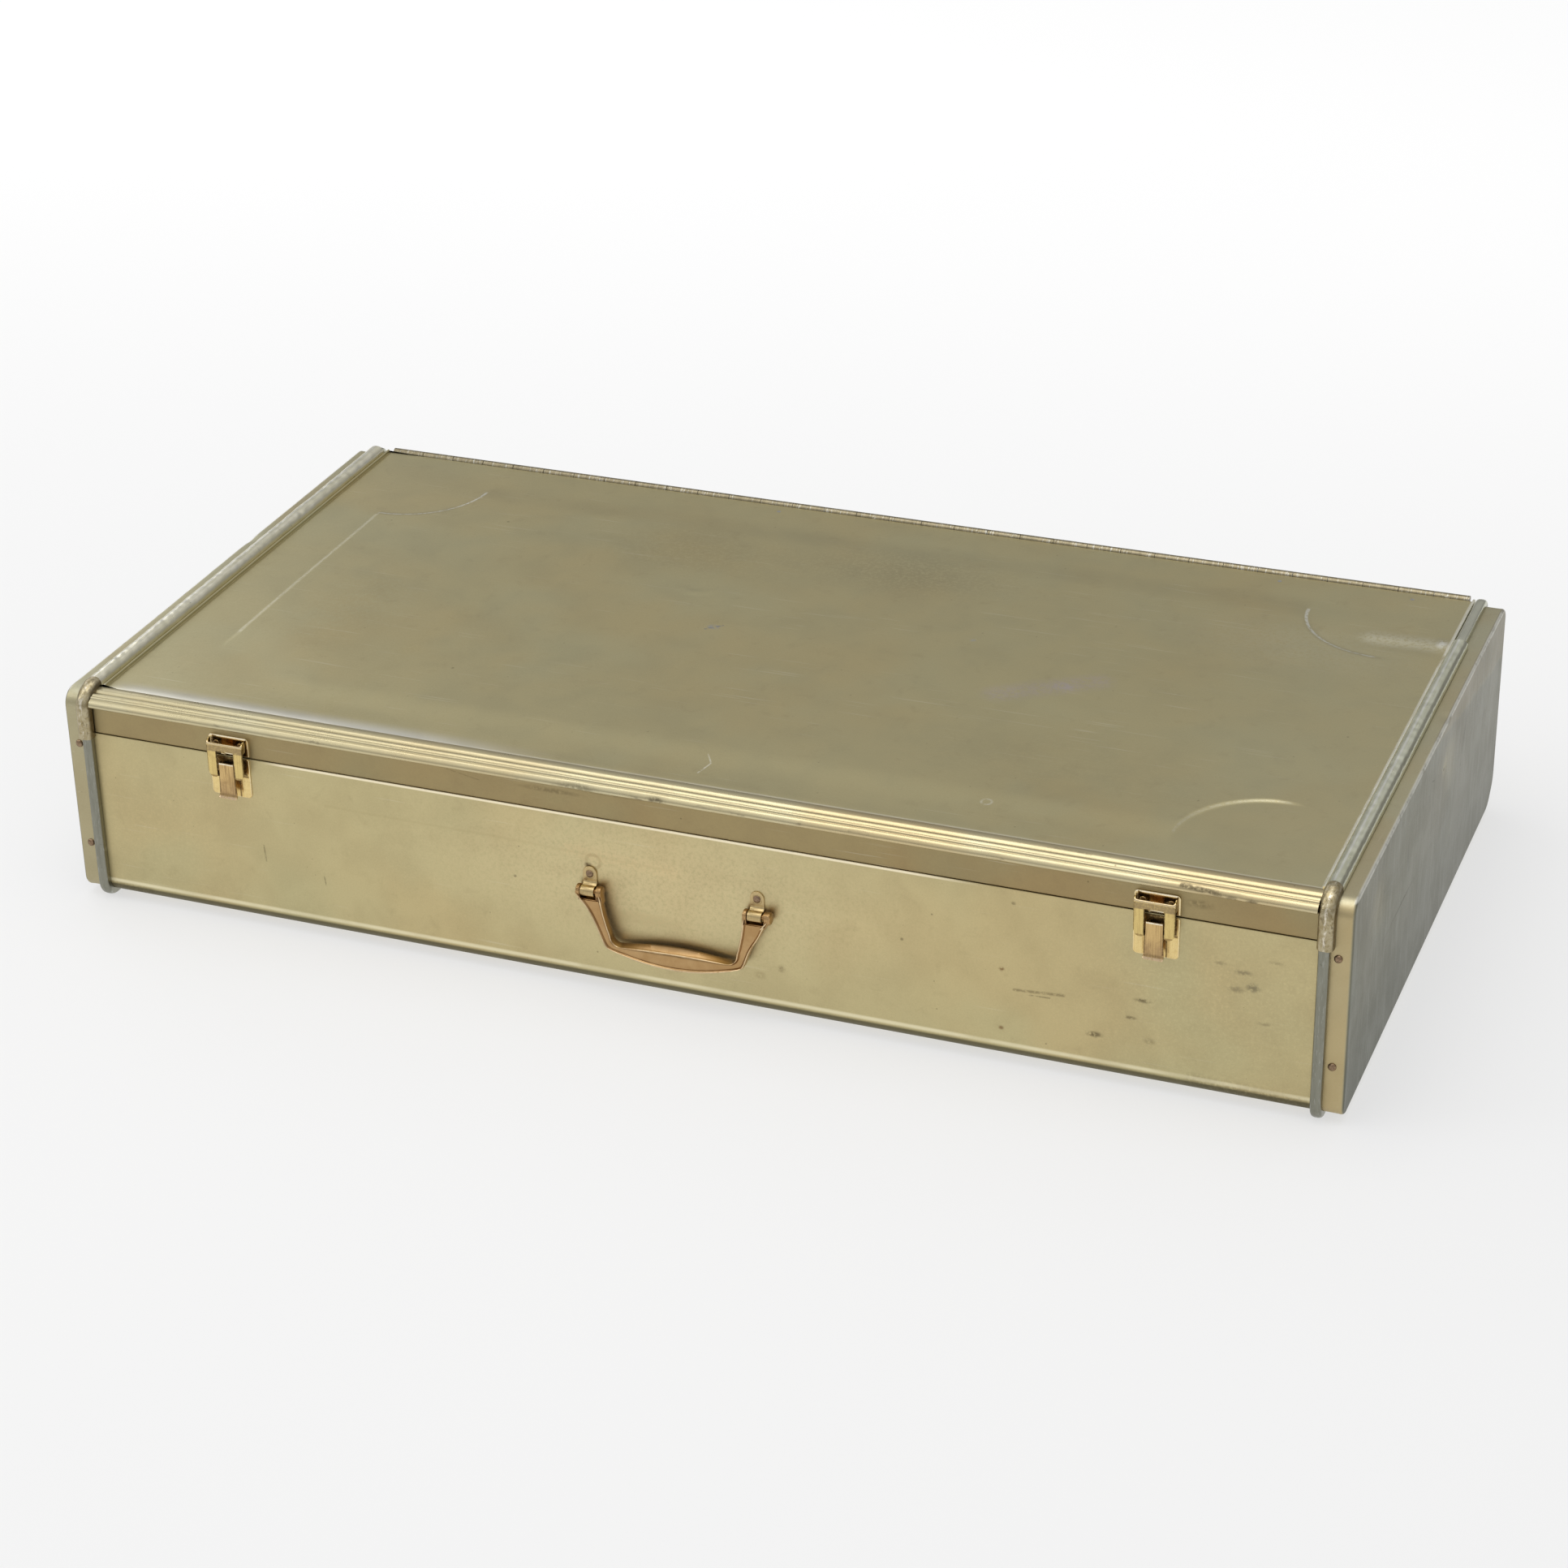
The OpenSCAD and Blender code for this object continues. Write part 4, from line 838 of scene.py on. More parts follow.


# SHADE_BRN is painted shade in the latch's crevices and under and beside its parts, as are the other dark bands below;
# SHINE and the pale and orange bands below are painted highlights on edges and lips.
SHADE_BRN = (0.085, 0.048, 0.020)
SHINE = (0.97, 0.90, 0.72)
M_BRASS = brass("latch_brass_base", (0.74, 0.54, 0.215), 0.22, 0.25, 1.0, 0.6, [
    (band(0, 12.4, -12.0, 1.0), SHADE_BRN, 0.90, 0.1),
    (band(5.9, 7.0, -30, -12.0), SHADE_BRN, 0.75, 0.1),
    (band(7.4, 8.0, -24.5, -12.0, soft=0.25), (0.36, 0.22, 0.09), 0.7, 0.0),
    (band(8.4, 13.2, -27.4, -14.0, soft=0.5), (0.86, 0.69, 0.33), 0.55, -0.04),
    (band(13.45, 14.2, -30, 1, soft=0.2), (0.93, 0.82, 0.55), 0.6, -0.05),
    (band(0, 14.2, -29, -27.6, soft=0.25), (0.93, 0.80, 0.50), 0.5, -0.05),
    (band(8.4, 12.9, -13.6, -12.2, soft=0.3), SHADE_BRN, 0.75, 0.1),
])
M_YOKE = brass("latch_brass_yoke", (0.72, 0.55, 0.215), 0.24, 0.30, 3.0, 0.7, [
    (band(0, 12.3, 4.9, 9.3, soft=0.4), (0.30, 0.215, 0.115), 0.85, 0.06),
    (band(5.6, 6.5, -14, 5.2, soft=0.22), SHADE_BRN, 0.85, 0.1),
    (band(12.05, 13.2, -14, 9.0, soft=0.22), SHADE_BRN, 0.70, 0.1),
    (band(6.6, 12.0, -14, -11.8, soft=0.4), (0.25, 0.15, 0.06), 0.70, 0.1),
    (band(0, 13.5, 9.6, 13.5, -7.2, -5.7, soft=0.25), (0.70, 0.57, 0.38), 0.80, -0.08),
    (band(0, 13.5, 9.0, 13.5, -5.2, -1.0, soft=0.3), (0.20, 0.12, 0.05), 0.60, 0.0),
])
M_LEVER = brass("lever_brass", (0.64, 0.445, 0.195), 0.23, 0.70, 4.0, 0.9, [
    (band(0, 7, -28.5, -16.5, soft=4.0), (0.33, 0.21, 0.11), 0.60, 0.05),
    (band(0, 5.0, -4.1, -2.6, -6.2, -5.0, soft=0.2), SHINE, 0.85, -0.08),
    (band(5.15, 7.0, -24, -3.0, -7.0, -5.3, soft=0.18), SHADE_BRN, 0.70, 0.05),
    (band(4.3, 6.0, -22, -2.0, -5.0, 0, soft=0.3), SHADE_BRN, 0.85, 0.1),
    (band(0, 7, -27.4, -25.9, -8, -6.4, soft=0.25), (0.74, 0.58, 0.40), 0.6, -0.04),
])
M_LIP = brass("keeper_brass", (0.78, 0.60, 0.29), 0.16, 0.15, 8.0, 0.4, [
    (band(0, 12.4, 0, 12.0, -1.15, 1.0, soft=0.4), (0.075, 0.040, 0.015), 0.94, 0.05),
    (band(-4.4, 3.6, 5.2, 12.3, -1.15, 1.0, 0.9, signed=True), (0.98, 0.50, 0.11), 0.92, 0.0),
    (band(0, 5.4, 0.4, 1.5, soft=0.25), SHADE_BRN, 0.85, 0.1),
    (band(0, 5.4, 3.9, 5.0, -3.2, -0.6, soft=0.2), SHADE_BRN, 0.7, 0.1),
    (band(0, 4.4, 1.9, 3.6, -3.2, -1.5, soft=0.2), (0.86, 0.80, 0.62), 0.8, -0.05),
    (band(0, 15, 12.9, 15, soft=0.3), SHINE, 0.75, -0.04),
    (band(13.2, 15, 0, 15, soft=0.2), (0.86, 0.74, 0.48), 0.6, -0.04),
])
M_BRACKET = brass("bracket_brass", (0.56, 0.430, 0.215), 0.29, 0.18, 7.0, 0.4)


def casting():
    """Copper-coloured lacquered casting, paler where the raised border is rubbed, darker along the groove beside it,
    with painted shade on its back.
    """
    N = Nodes("handle_casting")
    n1 = N.noise(14, 3.0, 0.6, 0.3)
    n2 = N.noise(1.3, 3.0, 0.65)
    col = N.mix(N.mapr(n1, 0.38, 0.66), (0.432, 0.265, 0.114), (0.498, 0.322, 0.150))
    col = N.mix(N.math("MULTIPLY", N.mapr(n2, 0.55, 0.75), 0.22), col, (0.26, 0.14, 0.06))
    at = N.t.nodes.new("ShaderNodeAttribute")
    at.attribute_name = "rub"
    groove_and_back_shade = N.mapr(at.outputs["Fac"], -0.1, -0.9)
    col = N.mix(N.math("MULTIPLY", groove_and_back_shade, 0.75), col, (0.085, 0.045, 0.020))
    rub = N.math("MULTIPLY", N.mapr(at.outputs["Fac"], 0.1, 0.9), N.mapr(N.noise(7, 3.0, 0.7, loc=(4, 4, 1)), 0.25, 0.52))
    col = N.mix(N.math("MULTIPLY", rub, 0.70), col, (0.80, 0.64, 0.40))
    ro = N.math("MULTIPLY_ADD", n1, 0.14, 0.24)
    h = N.math("MULTIPLY_ADD", n2, 0.5, N.math("MULTIPLY", n1, 0.3))
    return N.done(col, ro, 1.0, N.bump(h, 0.5, 0.07))


M_HANDLE = casting()


def rivet_material(name, a, b, seed):
    N = Nodes(name)
    n1 = N.noise(1.5, 4.0, 0.7, 0.4, loc=(seed, 0, 0))
    col = N.mix(N.mapr(n1, 0.35, 0.68), a, b)
    col = N.mix(N.math("MULTIPLY", N.mapr(N.noise(0.6, 2.0, 0.6, loc=(seed, 3, 0)), 0.55, 0.7), 0.5), col, (0.55, 0.42, 0.28))
    ro = N.math("MULTIPLY_ADD", n1, 0.3, 0.24)
    return N.done(col, ro, 1.0, N.bump(n1, 0.7, 0.10))


M_RIVET = rivet_material("rivet_darkened_copper", (0.32, 0.215, 0.135), (0.165, 0.110, 0.070), 1)
M_RIVET2 = rivet_material("rivet_brass", (0.60, 0.42, 0.17), (0.34, 0.20, 0.08), 2)
M_PIN = rivet_material("pin_dark_steel", (0.16, 0.11, 0.07), (0.07, 0.05, 0.035), 3)
M_STEEL = rivet_material("rivet_steel", (0.52, 0.52, 0.49), (0.36, 0.35, 0.32), 4)


def mill():
    """Plain mill-finish strip and leaves: fine rolling lines along x, faint grey clouds."""
    N = Nodes("mill_finish")
    ln = N.noise(1.4, 2.0, 0.6, stretch=(0.05, 1.6, 1.6))
    cl = N.noise(22, 3.0, 0.6, 0.3)
    col = N.mix(N.mapr(cl, 0.36, 0.68), (0.50, 0.485, 0.42), (0.42, 0.40, 0.33))
    col = N.mix(N.math("MULTIPLY", N.mapr(ln, 0.5, 0.7), 0.25), col, (0.70, 0.69, 0.62))
    ro = N.math("MULTIPLY_ADD", ln, 0.16, 0.28)
    return N.done(col, ro, 1.0, N.bump(ln, 0.5, 0.05))


M_MILL = mill()
M_HINGE = silver("hinge_gilded", (0.235, 0.200, 0.125), (0.31, 0.265, 0.17), 21.0)


# ------------------------------------------------------------------ body shell
wv_front = wave(11, 90, 330, 12)
wv_back = wave(12, 110, 400, 10)


def shell():
    pts, nrm, kind = [], [], []
    zt = SEAM - 0.2
    for z in np.concatenate([[zt, zt - 0.25, zt - 0.6, zt - 1.1, zt - 1.6, zt - 2.4], np.arange(zt - 4, R_F + 1, -2.2), [R_F]]):
        pts.append((0, z)); nrm.append((-1, 0))
    for a in np.radians(np.linspace(180, 270, 11)[1:]):
        pts.append((R_F + R_F * math.cos(a), R_F + R_F * math.sin(a))); nrm.append((math.cos(a), math.sin(a)))
    for y in np.linspace(R_F, D - R_B, 42)[1:]:
        pts.append((y, 0)); nrm.append((0, -1))
    for a in np.radians(np.linspace(270, 360, 11)[1:]):
        pts.append((D - R_B + R_B * math.cos(a), R_B + R_B * math.sin(a))); nrm.append((math.cos(a), math.sin(a)))
    zb = LU - 1.9
    for z in np.linspace(R_B, zb, 24)[1:]:
        pts.append((D, z)); nrm.append((1, 0))
    pts, nrm = np.array(pts), np.array(nrm)
    X = np.linspace(-RC + 0.9, RC - 0.9, 204)
    y, z = pts[:, 0], pts[:, 1]
    A, Yp = np.meshgrid(X, y, indexing="ij")
    _, Zp = np.meshgrid(X, z, indexing="ij")
    front = (np.abs(nrm[:, 0] + 1) < 1e-6)[None] * np.ones_like(A)
    back = (np.abs(nrm[:, 0] - 1) < 1e-6)[None] * np.ones_like(A)
    bott = (np.abs(nrm[:, 1] + 1) < 1e-6)[None] * np.ones_like(A)
    side = sm(RC - 0.9 - np.abs(A), 0, 45)              # still at the rims
    edge = sm(Zp, R_F, R_F + 22) * sm(zt - Zp, -2, 22)
    d = front * side * edge * (0.17 * wv_front(A, Zp * 1.3) + 0.10)
    # long soft crease left of the handle, and the dish above it
    zc = 92.5 - 0.012 * (A + 120) + 0.8 * np.sin(A / 23.0)
    win = sm(A, -262, -215) * sm(-A, -14, 26)
    d += front * win * (0.20 * gauss(Zp - zc, 2.3) - 0.16 * gauss(Zp - zc - 6.5, 5.0))
    win2 = sm(A, -120, -75) * sm(-A, -22, 10)
    d += front * win2 * 0.16 * gauss(Zp - zc + 1.0, 3.0)
    # dimples
    for (px, pz, r, k) in [(70, 34, 3.2, -0.10), (298, 57, 5, -0.10), (269, 28, 7, -0.12), (361, 80, 8, -0.12), (-107, 66.5, 2.5, -0.08), (56, 27, 7, -0.08), (-52.6, 86.0, 5.5, -0.06)]:
        d += front * k * np.exp(-(((A - px) / r) ** 2 + ((Zp - pz) / r) ** 2))
    # the sheet is drawn in a little beside the rims, and hemmed along the seam
    d += front * (-0.12) * gauss(RC - 0.9 - np.abs(A), 5)
    d += front * 0.30 * gauss(Zp - (zt - 0.75), 0.75)
    # flat just above the lower bend
    d += front * (-0.16) * gauss(Zp - (R_F + 4.5), 3.0) * side
    d += back * side * 0.25 * wv_back(A, Zp) * sm(Zp, R_B, R_B + 20) * sm(LU - 26 - Zp, -4, 14)
    d += bott * side * 0.22 * wv_back(A, Yp) * sm(Yp, R_F, R_F + 30) * sm(D - R_B - Yp, 0, 30)
    O = np.stack([A, Yp + nrm[None, :, 0] * d, Zp + nrm[None, :, 1] * d], -1)
    I = np.stack([A, Yp + nrm[None, :, 0] * (d * 0.6 - T), Zp + nrm[None, :, 1] * (d * 0.6 - T)], -1)
    I[:, 0, 2] = zt
    b = Build()
    b.grid(np.concatenate([O, I[:, ::-1]], 1), cv=True, cap=False)
    # end strips
    n, m = O.shape[:2]
    for i in (0, n - 1):
        b.grid(np.stack([O[i], I[i]], 0))
    return piece("body_sheet", b, M_BODY, "case_body", "body_shell", 50, merge=0.002)


shell()


# ------------------------------------------------------------------ end boxes
wv_end = wave(21, 60, 260, 12)


def end_box(name, s, node, seed):
    wv = wave(seed, 60, 240, 12)
    b = Build()
    st = [(RC + 0.6, -0.25), (RC + 0.75, -0.02), (RC + 1.2, 0.0), (RC + 3, 0.0), (RC + 6, 0.0), (RC + 8, 0.0), (RC + 11, 0.0)]
    r = 2.3
    for a in np.radians(np.linspace(0, 90, 7)):
        st.append((END - r + r * math.sin(a), -r + r * math.cos(a)))
    for o in (4, 6, 8, 11, 15, 20, 26, 33, 41, 50, 59, 66, 70):
        st.append((END, -r - (o - r) * 1.0 if o > r else -r))
    G = []
    for k, (x, o) in enumerate(st):
        P, N = ring(min(o, 0) if o > -70 else -70, 4.5)
        G.append(np.concatenate([np.full((len(P), 1), x), P], 1))
    G = np.array(G)
    _, N0 = ring(0, 4.5)
    X, Y, Z = G[..., 0], G[..., 1], G[..., 2]
    # waviness of the face, softer at its edge
    ins = np.clip(np.minimum.reduce([Y, D - Y, Z, CAP - Z]), 0, None)
    f = sm(X, END - 0.6, END) * sm(ins, 2, 26)
    # along the middle the wave runs lengthways only, so the innermost ring closes flat
    zm = Z + (CAP / 2 - Z) * sm(ins, 40, 68)
    dx = f * (0.30 * (1 - 0.75 * sm(ins, 48, 68)) * wv(Y, zm) - 0.35) - 0.25 * sm(X, END - 0.6, END) * gauss(ins - 9, 7)
    # dents
    dx += -0.5 * sm(X, END - 1, END) * np.exp(-(((Y - 246) / 7) ** 2 + ((Z - 112) / 5) ** 2))
    dx += -0.4 * sm(X, END - 1, END) * np.exp(-(((Y - 298) / 5) ** 2 + ((Z - 88) / 4) ** 2))
    X += np.minimum(dx, 0.0)
    top = np.abs(N0[None, :, 1] - 1) < 1e-6
    knock = -0.9 * np.exp(-((Y - 250) / 5.5) ** 2) * sm(X, END - 7, END - 1) * top * (G[..., 2] > CAP - 3)
    knock += -0.25 * gauss(Y - 120, 60) * top * sm(X, END - 9, END - 2) * (G[..., 2] > CAP - 3)
    Z += knock
    flg = sm(END - 2.5 - X, 0, 3) * sm(X, RC + 0.6, RC + 2)
    wn = 0.10 * wv(Y * 1.0, Z * 1.0 + X * 3)
    Y += N0[None, :, 0] * (np.minimum(wn, 0.05) - 0.04) * flg
    Z += N0[None, :, 1] * (np.minimum(wn, 0.05) - 0.04) * flg
    b.grid(G, cv=True)
    m = G.shape[1]
    b.F.append(tuple(range(b.n - m, b.n)))
    # inside of the pan
    ist = [(RC + 0.6, -T), (RC + 6, -T), (END - T - 2.0, -T)]
    for a in np.radians(np.linspace(15, 90, 5)):
        ist.append((END - T - 2.0 + 2.0 * math.sin(a), -T - 2.0 + 2.0 * math.cos(a)))
    for o in (10, 30, 60, 70):
        ist.append((END - T - (0.5 if o > 12 else 0.1), -o))
    H = []
    for x, o in ist:
        P, N = ring(o, 4.5)
        H.append(np.concatenate([np.full((len(P), 1), x), P], 1))
    H = np.array(H)
    b.grid(H[::-1], cv=True)
    base = b.n - H.shape[0] * m
    b.F.append(tuple(range(base, base + m))[::-1])
    # lip of the flange
    b.grid(np.stack([G[0], H[0]], 0), cv=True)
    if s < 0:
        b.mirror()
    return piece(name, b, M_END, "case_body", node, 50, merge=0.002)


end_box("end_box_right", 1, "end_cap_right", 31)
end_box("end_box_left", -1, "end_cap_left", 32)


# ------------------------------------------------------------------ rims
def rim_piece(name, s, node, seed):
    wv, wv2 = wave(seed, 9, 40, 14), wave(seed + 1, 50, 200, 8)
    r = np.random.default_rng(seed)
    hw = (RO - RI) / 2
    prof = [(-hw, 0.0), (-hw, 0.9), (-hw, 1.9)]
    for a in np.radians(np.linspace(172, 8, 15)):
        c, q = math.cos(a), math.sin(a)
        prof.append((hw * abs(c) ** 0.72 * (1 if c > 0 else -1), 1.9 + (RTOP - 1.9) * abs(q) ** 0.72))
    prof += [(hw, 1.9), (hw, 0.9), (hw, 0.0)]
    G = []
    P0, N0 = ring(0, 2.6)
    for (x, o) in prof:
        G.append(np.concatenate([np.full((len(P0), 1), RC + x), ring(o, 2.6)[0]], 1))
    G = np.array(G)
    o = np.array([p[1] for p in prof])[:, None]
    u = np.cumsum(np.concatenate([[0], np.linalg.norm(np.diff(P0, axis=0), axis=1)]))[None]
    w = sm(o, 1.5, RTOP)
    dn = w * (0.06 * wv(u, o * 4) - 0.06)
    for q in range(26):                                   # nicks along the crest
        u0, k, sg = r.uniform(0, u.max()), r.uniform(0.12, 0.40), r.uniform(1.2, 3.5)
        x0 = r.uniform(-2.5, 2.5)
        xx = np.array([p[0] for p in prof])[:, None]
        dn = dn - k * np.exp(-((u - u0) / sg) ** 2 - ((xx - x0) / 1.8) ** 2) * w
    G[..., 1] += N0[None, :, 0] * dn
    G[..., 2] += N0[None, :, 1] * dn
    G[..., 0] += 0.10 * wv2(u, 0 * u) * sm(o, 0, 2)
    G[..., 0] = np.clip(G[..., 0], RI, RO)
    b = Build()
    b.grid(np.transpose(G, (1, 0, 2)), cu=True, cv=True)

    def hoop(x0, x1, o0, o1, keep=None, bv=0.2):
        sec = [(x0, o0), (x1, o0), (x1, o1 - bv), (x1 - bv, o1), (x0 + bv, o1), (x0, o1 - bv)]
        H = np.array([np.concatenate([np.full((len(P0), 1), x), ring(q, 2.6)[0]], 1) for x, q in sec])
        H = np.transpose(H, (1, 0, 2))
        if keep is None:
            b.grid(H, cu=True, cv=True)
        else:
            k = keep(P0)
            i0 = np.where(~k & np.roll(k, -1))[0][0] + 1
            H = np.roll(H, -i0, 0)[: int(k.sum())]
            b.grid(H, cv=True, cap=True)
    hoop(RC - 0.8, RC + 0.5, -4.2, 0.05, None, 0.05)
    hoop(RC + 0.5, RC + 12, -T - 1.4, -T - 0.12)
    hoop(RC - 8.4, RC - 0.8, -T - 1.4, -T - 0.12, lambda P: P[:, 1] < SEAM - 2)
    b.add(*bevel_box((RC - 10.8, 24, LU - 2.4), (RC - 0.7, 400, LU - 0.6), 0.3))
    if s < 0:
        b.mirror()
    return piece(name, b, M_RIM, "case_body", node, 40)


rim_piece("rim_bead_right", 1, "rim_right", 41)
rim_piece("rim_bead_left", -1, "rim_left", 51)


# ------------------------------------------------------------------ rivets
def cap_rivets(name, s, node, seed):
    b = Build()
    x = (RO + 4.5)
    for k, z in enumerate((35.2, 107.8)):
        rivet(b, (x, -0.02, z), (0, -1, 0), 5.2, 1.3, seed + k)
        rivet(b, (x, D + 0.02, z), (0, 1, 0), 5.2, 1.3, seed + 5 + k)
        for yy, dr in ((T + 1.4, 1), (D - T - 1.4, -1)):
            rod(b, (x, yy - 0.1 * dr, z), (x, yy + 0.9 * dr, z), 2.0, 20)
    for k, y in enumerate((60, 212, 364)):
        rivet(b, (x, y, -0.02), (0, 0, -1), 5.2, 1.3, seed + 9 + k)
        rod(b, (x, y, T + 1.3), (x, y, T + 2.3), 2.0, 20)
    if s < 0:
        b.mirror()
    return piece(name, b, M_RIVET, "case_body", node, 60)


cap_rivets("cap_rivet_heads_right", 1, "end_cap_rivets_right", 60)
cap_rivets("cap_rivet_heads_left", -1, "end_cap_rivets_left", 80)


# ------------------------------------------------------------------ lid sheet
FX, FY0, FY1, FR, FH = 356.0, 52.0, 378.0, 57.0, 1.0
wv_lid = wave(71, 150, 520, 12)
wv_lid2 = wave(72, 50, 130, 10)


def lid_height(x, y):
    ax = np.abs(x)
    f = 1 - sm((ax - FX) / np.where(x > 0, 12.0, 1.5), -1, 1)
    f = f * (1 - sm(FY0 - y, -16, 16)) * (1 - sm(y - FY1, -16, 16))
    for cy in (FY0, FY1):
        r = np.hypot(ax - FX, y - cy)
        wd = np.where(x < 0, 26.0 if cy < 200 else 3.4, 3.0 if cy > 200 else 1.5)
        f = f * np.clip((r - FR + wd) / (2 * wd), 0, 1) ** 2 * (3 - 2 * np.clip((r - FR + wd) / (2 * wd), 0, 1))
    h = FH * f
    inner = sm(LX - 2 - ax, 0, 40) * sm(y, RAIL, RAIL + 30) * sm(D - y, 2, 40)
    h = h + inner * (0.26 * wv_lid(x, y) + 0.05 * wv_lid2(x, y))
    # the little crescent bump
    r = np.hypot(x + 95, (y - 289) * 1.0)
    ang = np.arctan2(y - 289, x + 95)
    h = h + 0.45 * gauss(r - 20, 1.7) * gauss(ang + 1.62, 0.62)
    # knock beside the right tube, with a crease running in from it
    h = h + 1.0 * np.exp(-((x - 393.5) / 4.2) ** 2 - ((y - 352) / 7.0) ** 2)
    h = h + 0.22 * gauss(y - 352 - (x - 370) * 0.02, 5.5) * sm(x, 322, 352) * sm(-x, -392, -380)
    h = h - 0.30 * gauss(y - 342, 7.0) * sm(x, 330, 360) * sm(-x, -396, -384)
    # the sheet rolls down into the rail, most of all on the left
    dip = (1 - np.clip((y - 14.5) / 13.0, 0, 1)) ** 2
    h = h - 0.10 * dip * (0.2 + 0.8 * sm(x, -404, -380) * sm(-x, 80, 200))
    # and lifts beside it
    h = h + 0.40 * gauss(y - 17, 5.5) * sm(x, -402, -385) * sm(-x, 215, 262)
    h = h + 0.18 * gauss(y - 18, 6) * sm(x, -215, -120) * sm(-x, -300, -100)
    # shallow dishes
    for (px, py, r0, k) in [(-150, 180, 70, -0.28), (120, 230, 90, 0.22), (250, 120, 60, -0.20), (-280, 240, 50, 0.18), (10, 320, 60, -0.22), (330, 200, 40, 0.15)]:
        h = h + k * np.exp(-((x - px) ** 2 + (y - py) ** 2) / r0 ** 2)
    return h


def lid():
    lim = LX - 2.0
    xs = np.concatenate([np.arange(-lim, -362, 3.0), np.arange(-362, -296, 1.15), np.arange(-296, 296, 3.4), np.arange(296, 362, 1.15), np.arange(362, lim, 3.0), [lim]])
    ys = np.concatenate([np.arange(RAIL, 24, 1.5), np.arange(24, 46, 2.4), np.arange(46, 112, 1.2), np.arange(112, 318, 3.4), np.arange(318, 384, 1.2), np.arange(384, D - 0.8, 3.0), [D - 0.6]])
    # section over x: left bead, top, right bead, underside
    rb = 0.95
    bead = []
    for a in np.radians(np.linspace(-8, 188, 11)):
        bead.append((LX - rb + rb * math.cos(a), LT + 0.95 + rb * math.sin(a)))
    right = [(LX, LU), (LX, LT + 0.2)] + bead + [(LX - 1.92, LT + 0.35), (LX - 1.98, LT + 0.08)]
    left = [(-x, z) for x, z in right][::-1]
    xu = np.linspace(LX - 6, -LX + 6, 60)
    sec_x = np.concatenate([[p[0] for p in left], xs, [p[0] for p in right[::-1]], xu])
    sec_z = np.concatenate([[p[1] for p in left], np.full(len(xs), LT), [p[1] for p in right[::-1]], np.full(len(xu), LU)])
    nl, nx, nr = len(left), len(xs), len(right)
    Xg = np.broadcast_to(sec_x, (len(ys), len(sec_x))).copy()
    Zg = np.broadcast_to(sec_z, (len(ys), len(sec_x))).copy()
    Yg = np.broadcast_to(ys[:, None], Xg.shape).copy()
    H = lid_height(Xg, Yg)
    Zg[:, nl:nl + nx] += H[:, nl:nl + nx]
    # the beads are slightly wavy; the knock at y = 350 beside the right one comes from lid_height
    wb = wave(73, 25, 120, 10)
    for sl, sg in ((slice(2, nl), -1), (slice(nl + nx, nl + nx + nr - 2), 1)):
        Zg[:, sl] += (0.05 * wb(Yg[:, sl], sg * 100 + 0 * Yg[:, sl]) - 0.03) * (Zg[:, sl] > LT + 0.3)
    b = Build()
    b.grid(np.stack([Xg, Yg, Zg], -1), cv=True, cap=True)
    return piece("lid_sheet", b, M_LID, "lid", "lid_panel", 50)


lid()


# ------------------------------------------------------------------ front rail
def rail():
    # outer face from the back of the flat band, over the ribs and round the nose
    top = [(RAIL, LT - 0.15), (RAIL, LT + 0.25), (13.6, LT + 0.85), (11.8, LT + 1.25), (9.6, LT + 1.3), (7.6, LT + 1.05), (6.5, LT + 0.35),
           (5.7, LT - 0.35), (5.0, LT + 0.15), (3.9, LT + 0.65), (2.6, LT + 0.6), (1.5, LT + 0.1), (0.9, LT - 0.5), (0.45, LT - 0.05), (-0.2, LT - 0.2),
           (-0.75, LT - 0.9), (-0.85, LT - 1.5), (-1.4, LT - 1.55), (-2.5, LT - 1.9), (-3.5, LT - 2.8), (-4.3, LT - 4.0), (-4.55, LT - 5.1),
           (-4.25, LT - 6.1), (-3.3, LT - 6.75), (-1.6, LT - 6.8)]
    top = chaikin(top, 2)
    low = [(0.5, LT - 6.8), (0.5, LT - 4.4), (1.7, LT - 4.4), (1.7, LT - 3.0), (3.6, LU - 0.1), (RAIL, LU - T), (RAIL + 8, LU - T), (RAIL + 8, LU), (RAIL, LU)]
    sec = np.concatenate([top, low])
    xs = np.linspace(-LX, LX, 240)
    w1, w2 = wave(81, 40, 200, 10), wave(82, 12, 45, 12)
    G = np.zeros((len(xs), len(sec), 3))
    G[..., 0] = xs[:, None]
    G[..., 1] = sec[None, :, 0]
    G[..., 2] = sec[None, :, 1]
    nt = len(top)
    yy = G[:, :nt, 1]
    k = 0.04 * w1(G[:, :nt, 0], yy * 0.5) + 0.006 * w2(G[:, :nt, 0], yy * 0.2)
    G[:, :nt, 2] += np.minimum(k, 0.04) - 0.03
    nose = sm(-yy, 1.5, 4.0)
    G[:, :nt, 1] += nose * (0.06 * w1(G[:, :nt, 0] + 300, 0 * yy) + 0.06)
    # dents on the nose and crests
    for (px, s0, kk) in [(-60, 7, 0.30), (-8, 4, 0.35), (336, 6, 0.40), (352, 3, 0.35), (-330, 5, 0.20), (120, 5, 0.15), (205, 8, 0.15)]:
        G[:, :nt, 1] += nose * kk * np.exp(-((G[:, :nt, 0] - px) / s0) ** 2)
    b = Build()
    b.grid(G, cv=True, cap=True)
    return piece("front_rail_ribbed", b, M_RAIL, "lid", "front_rail", 55)


rail()


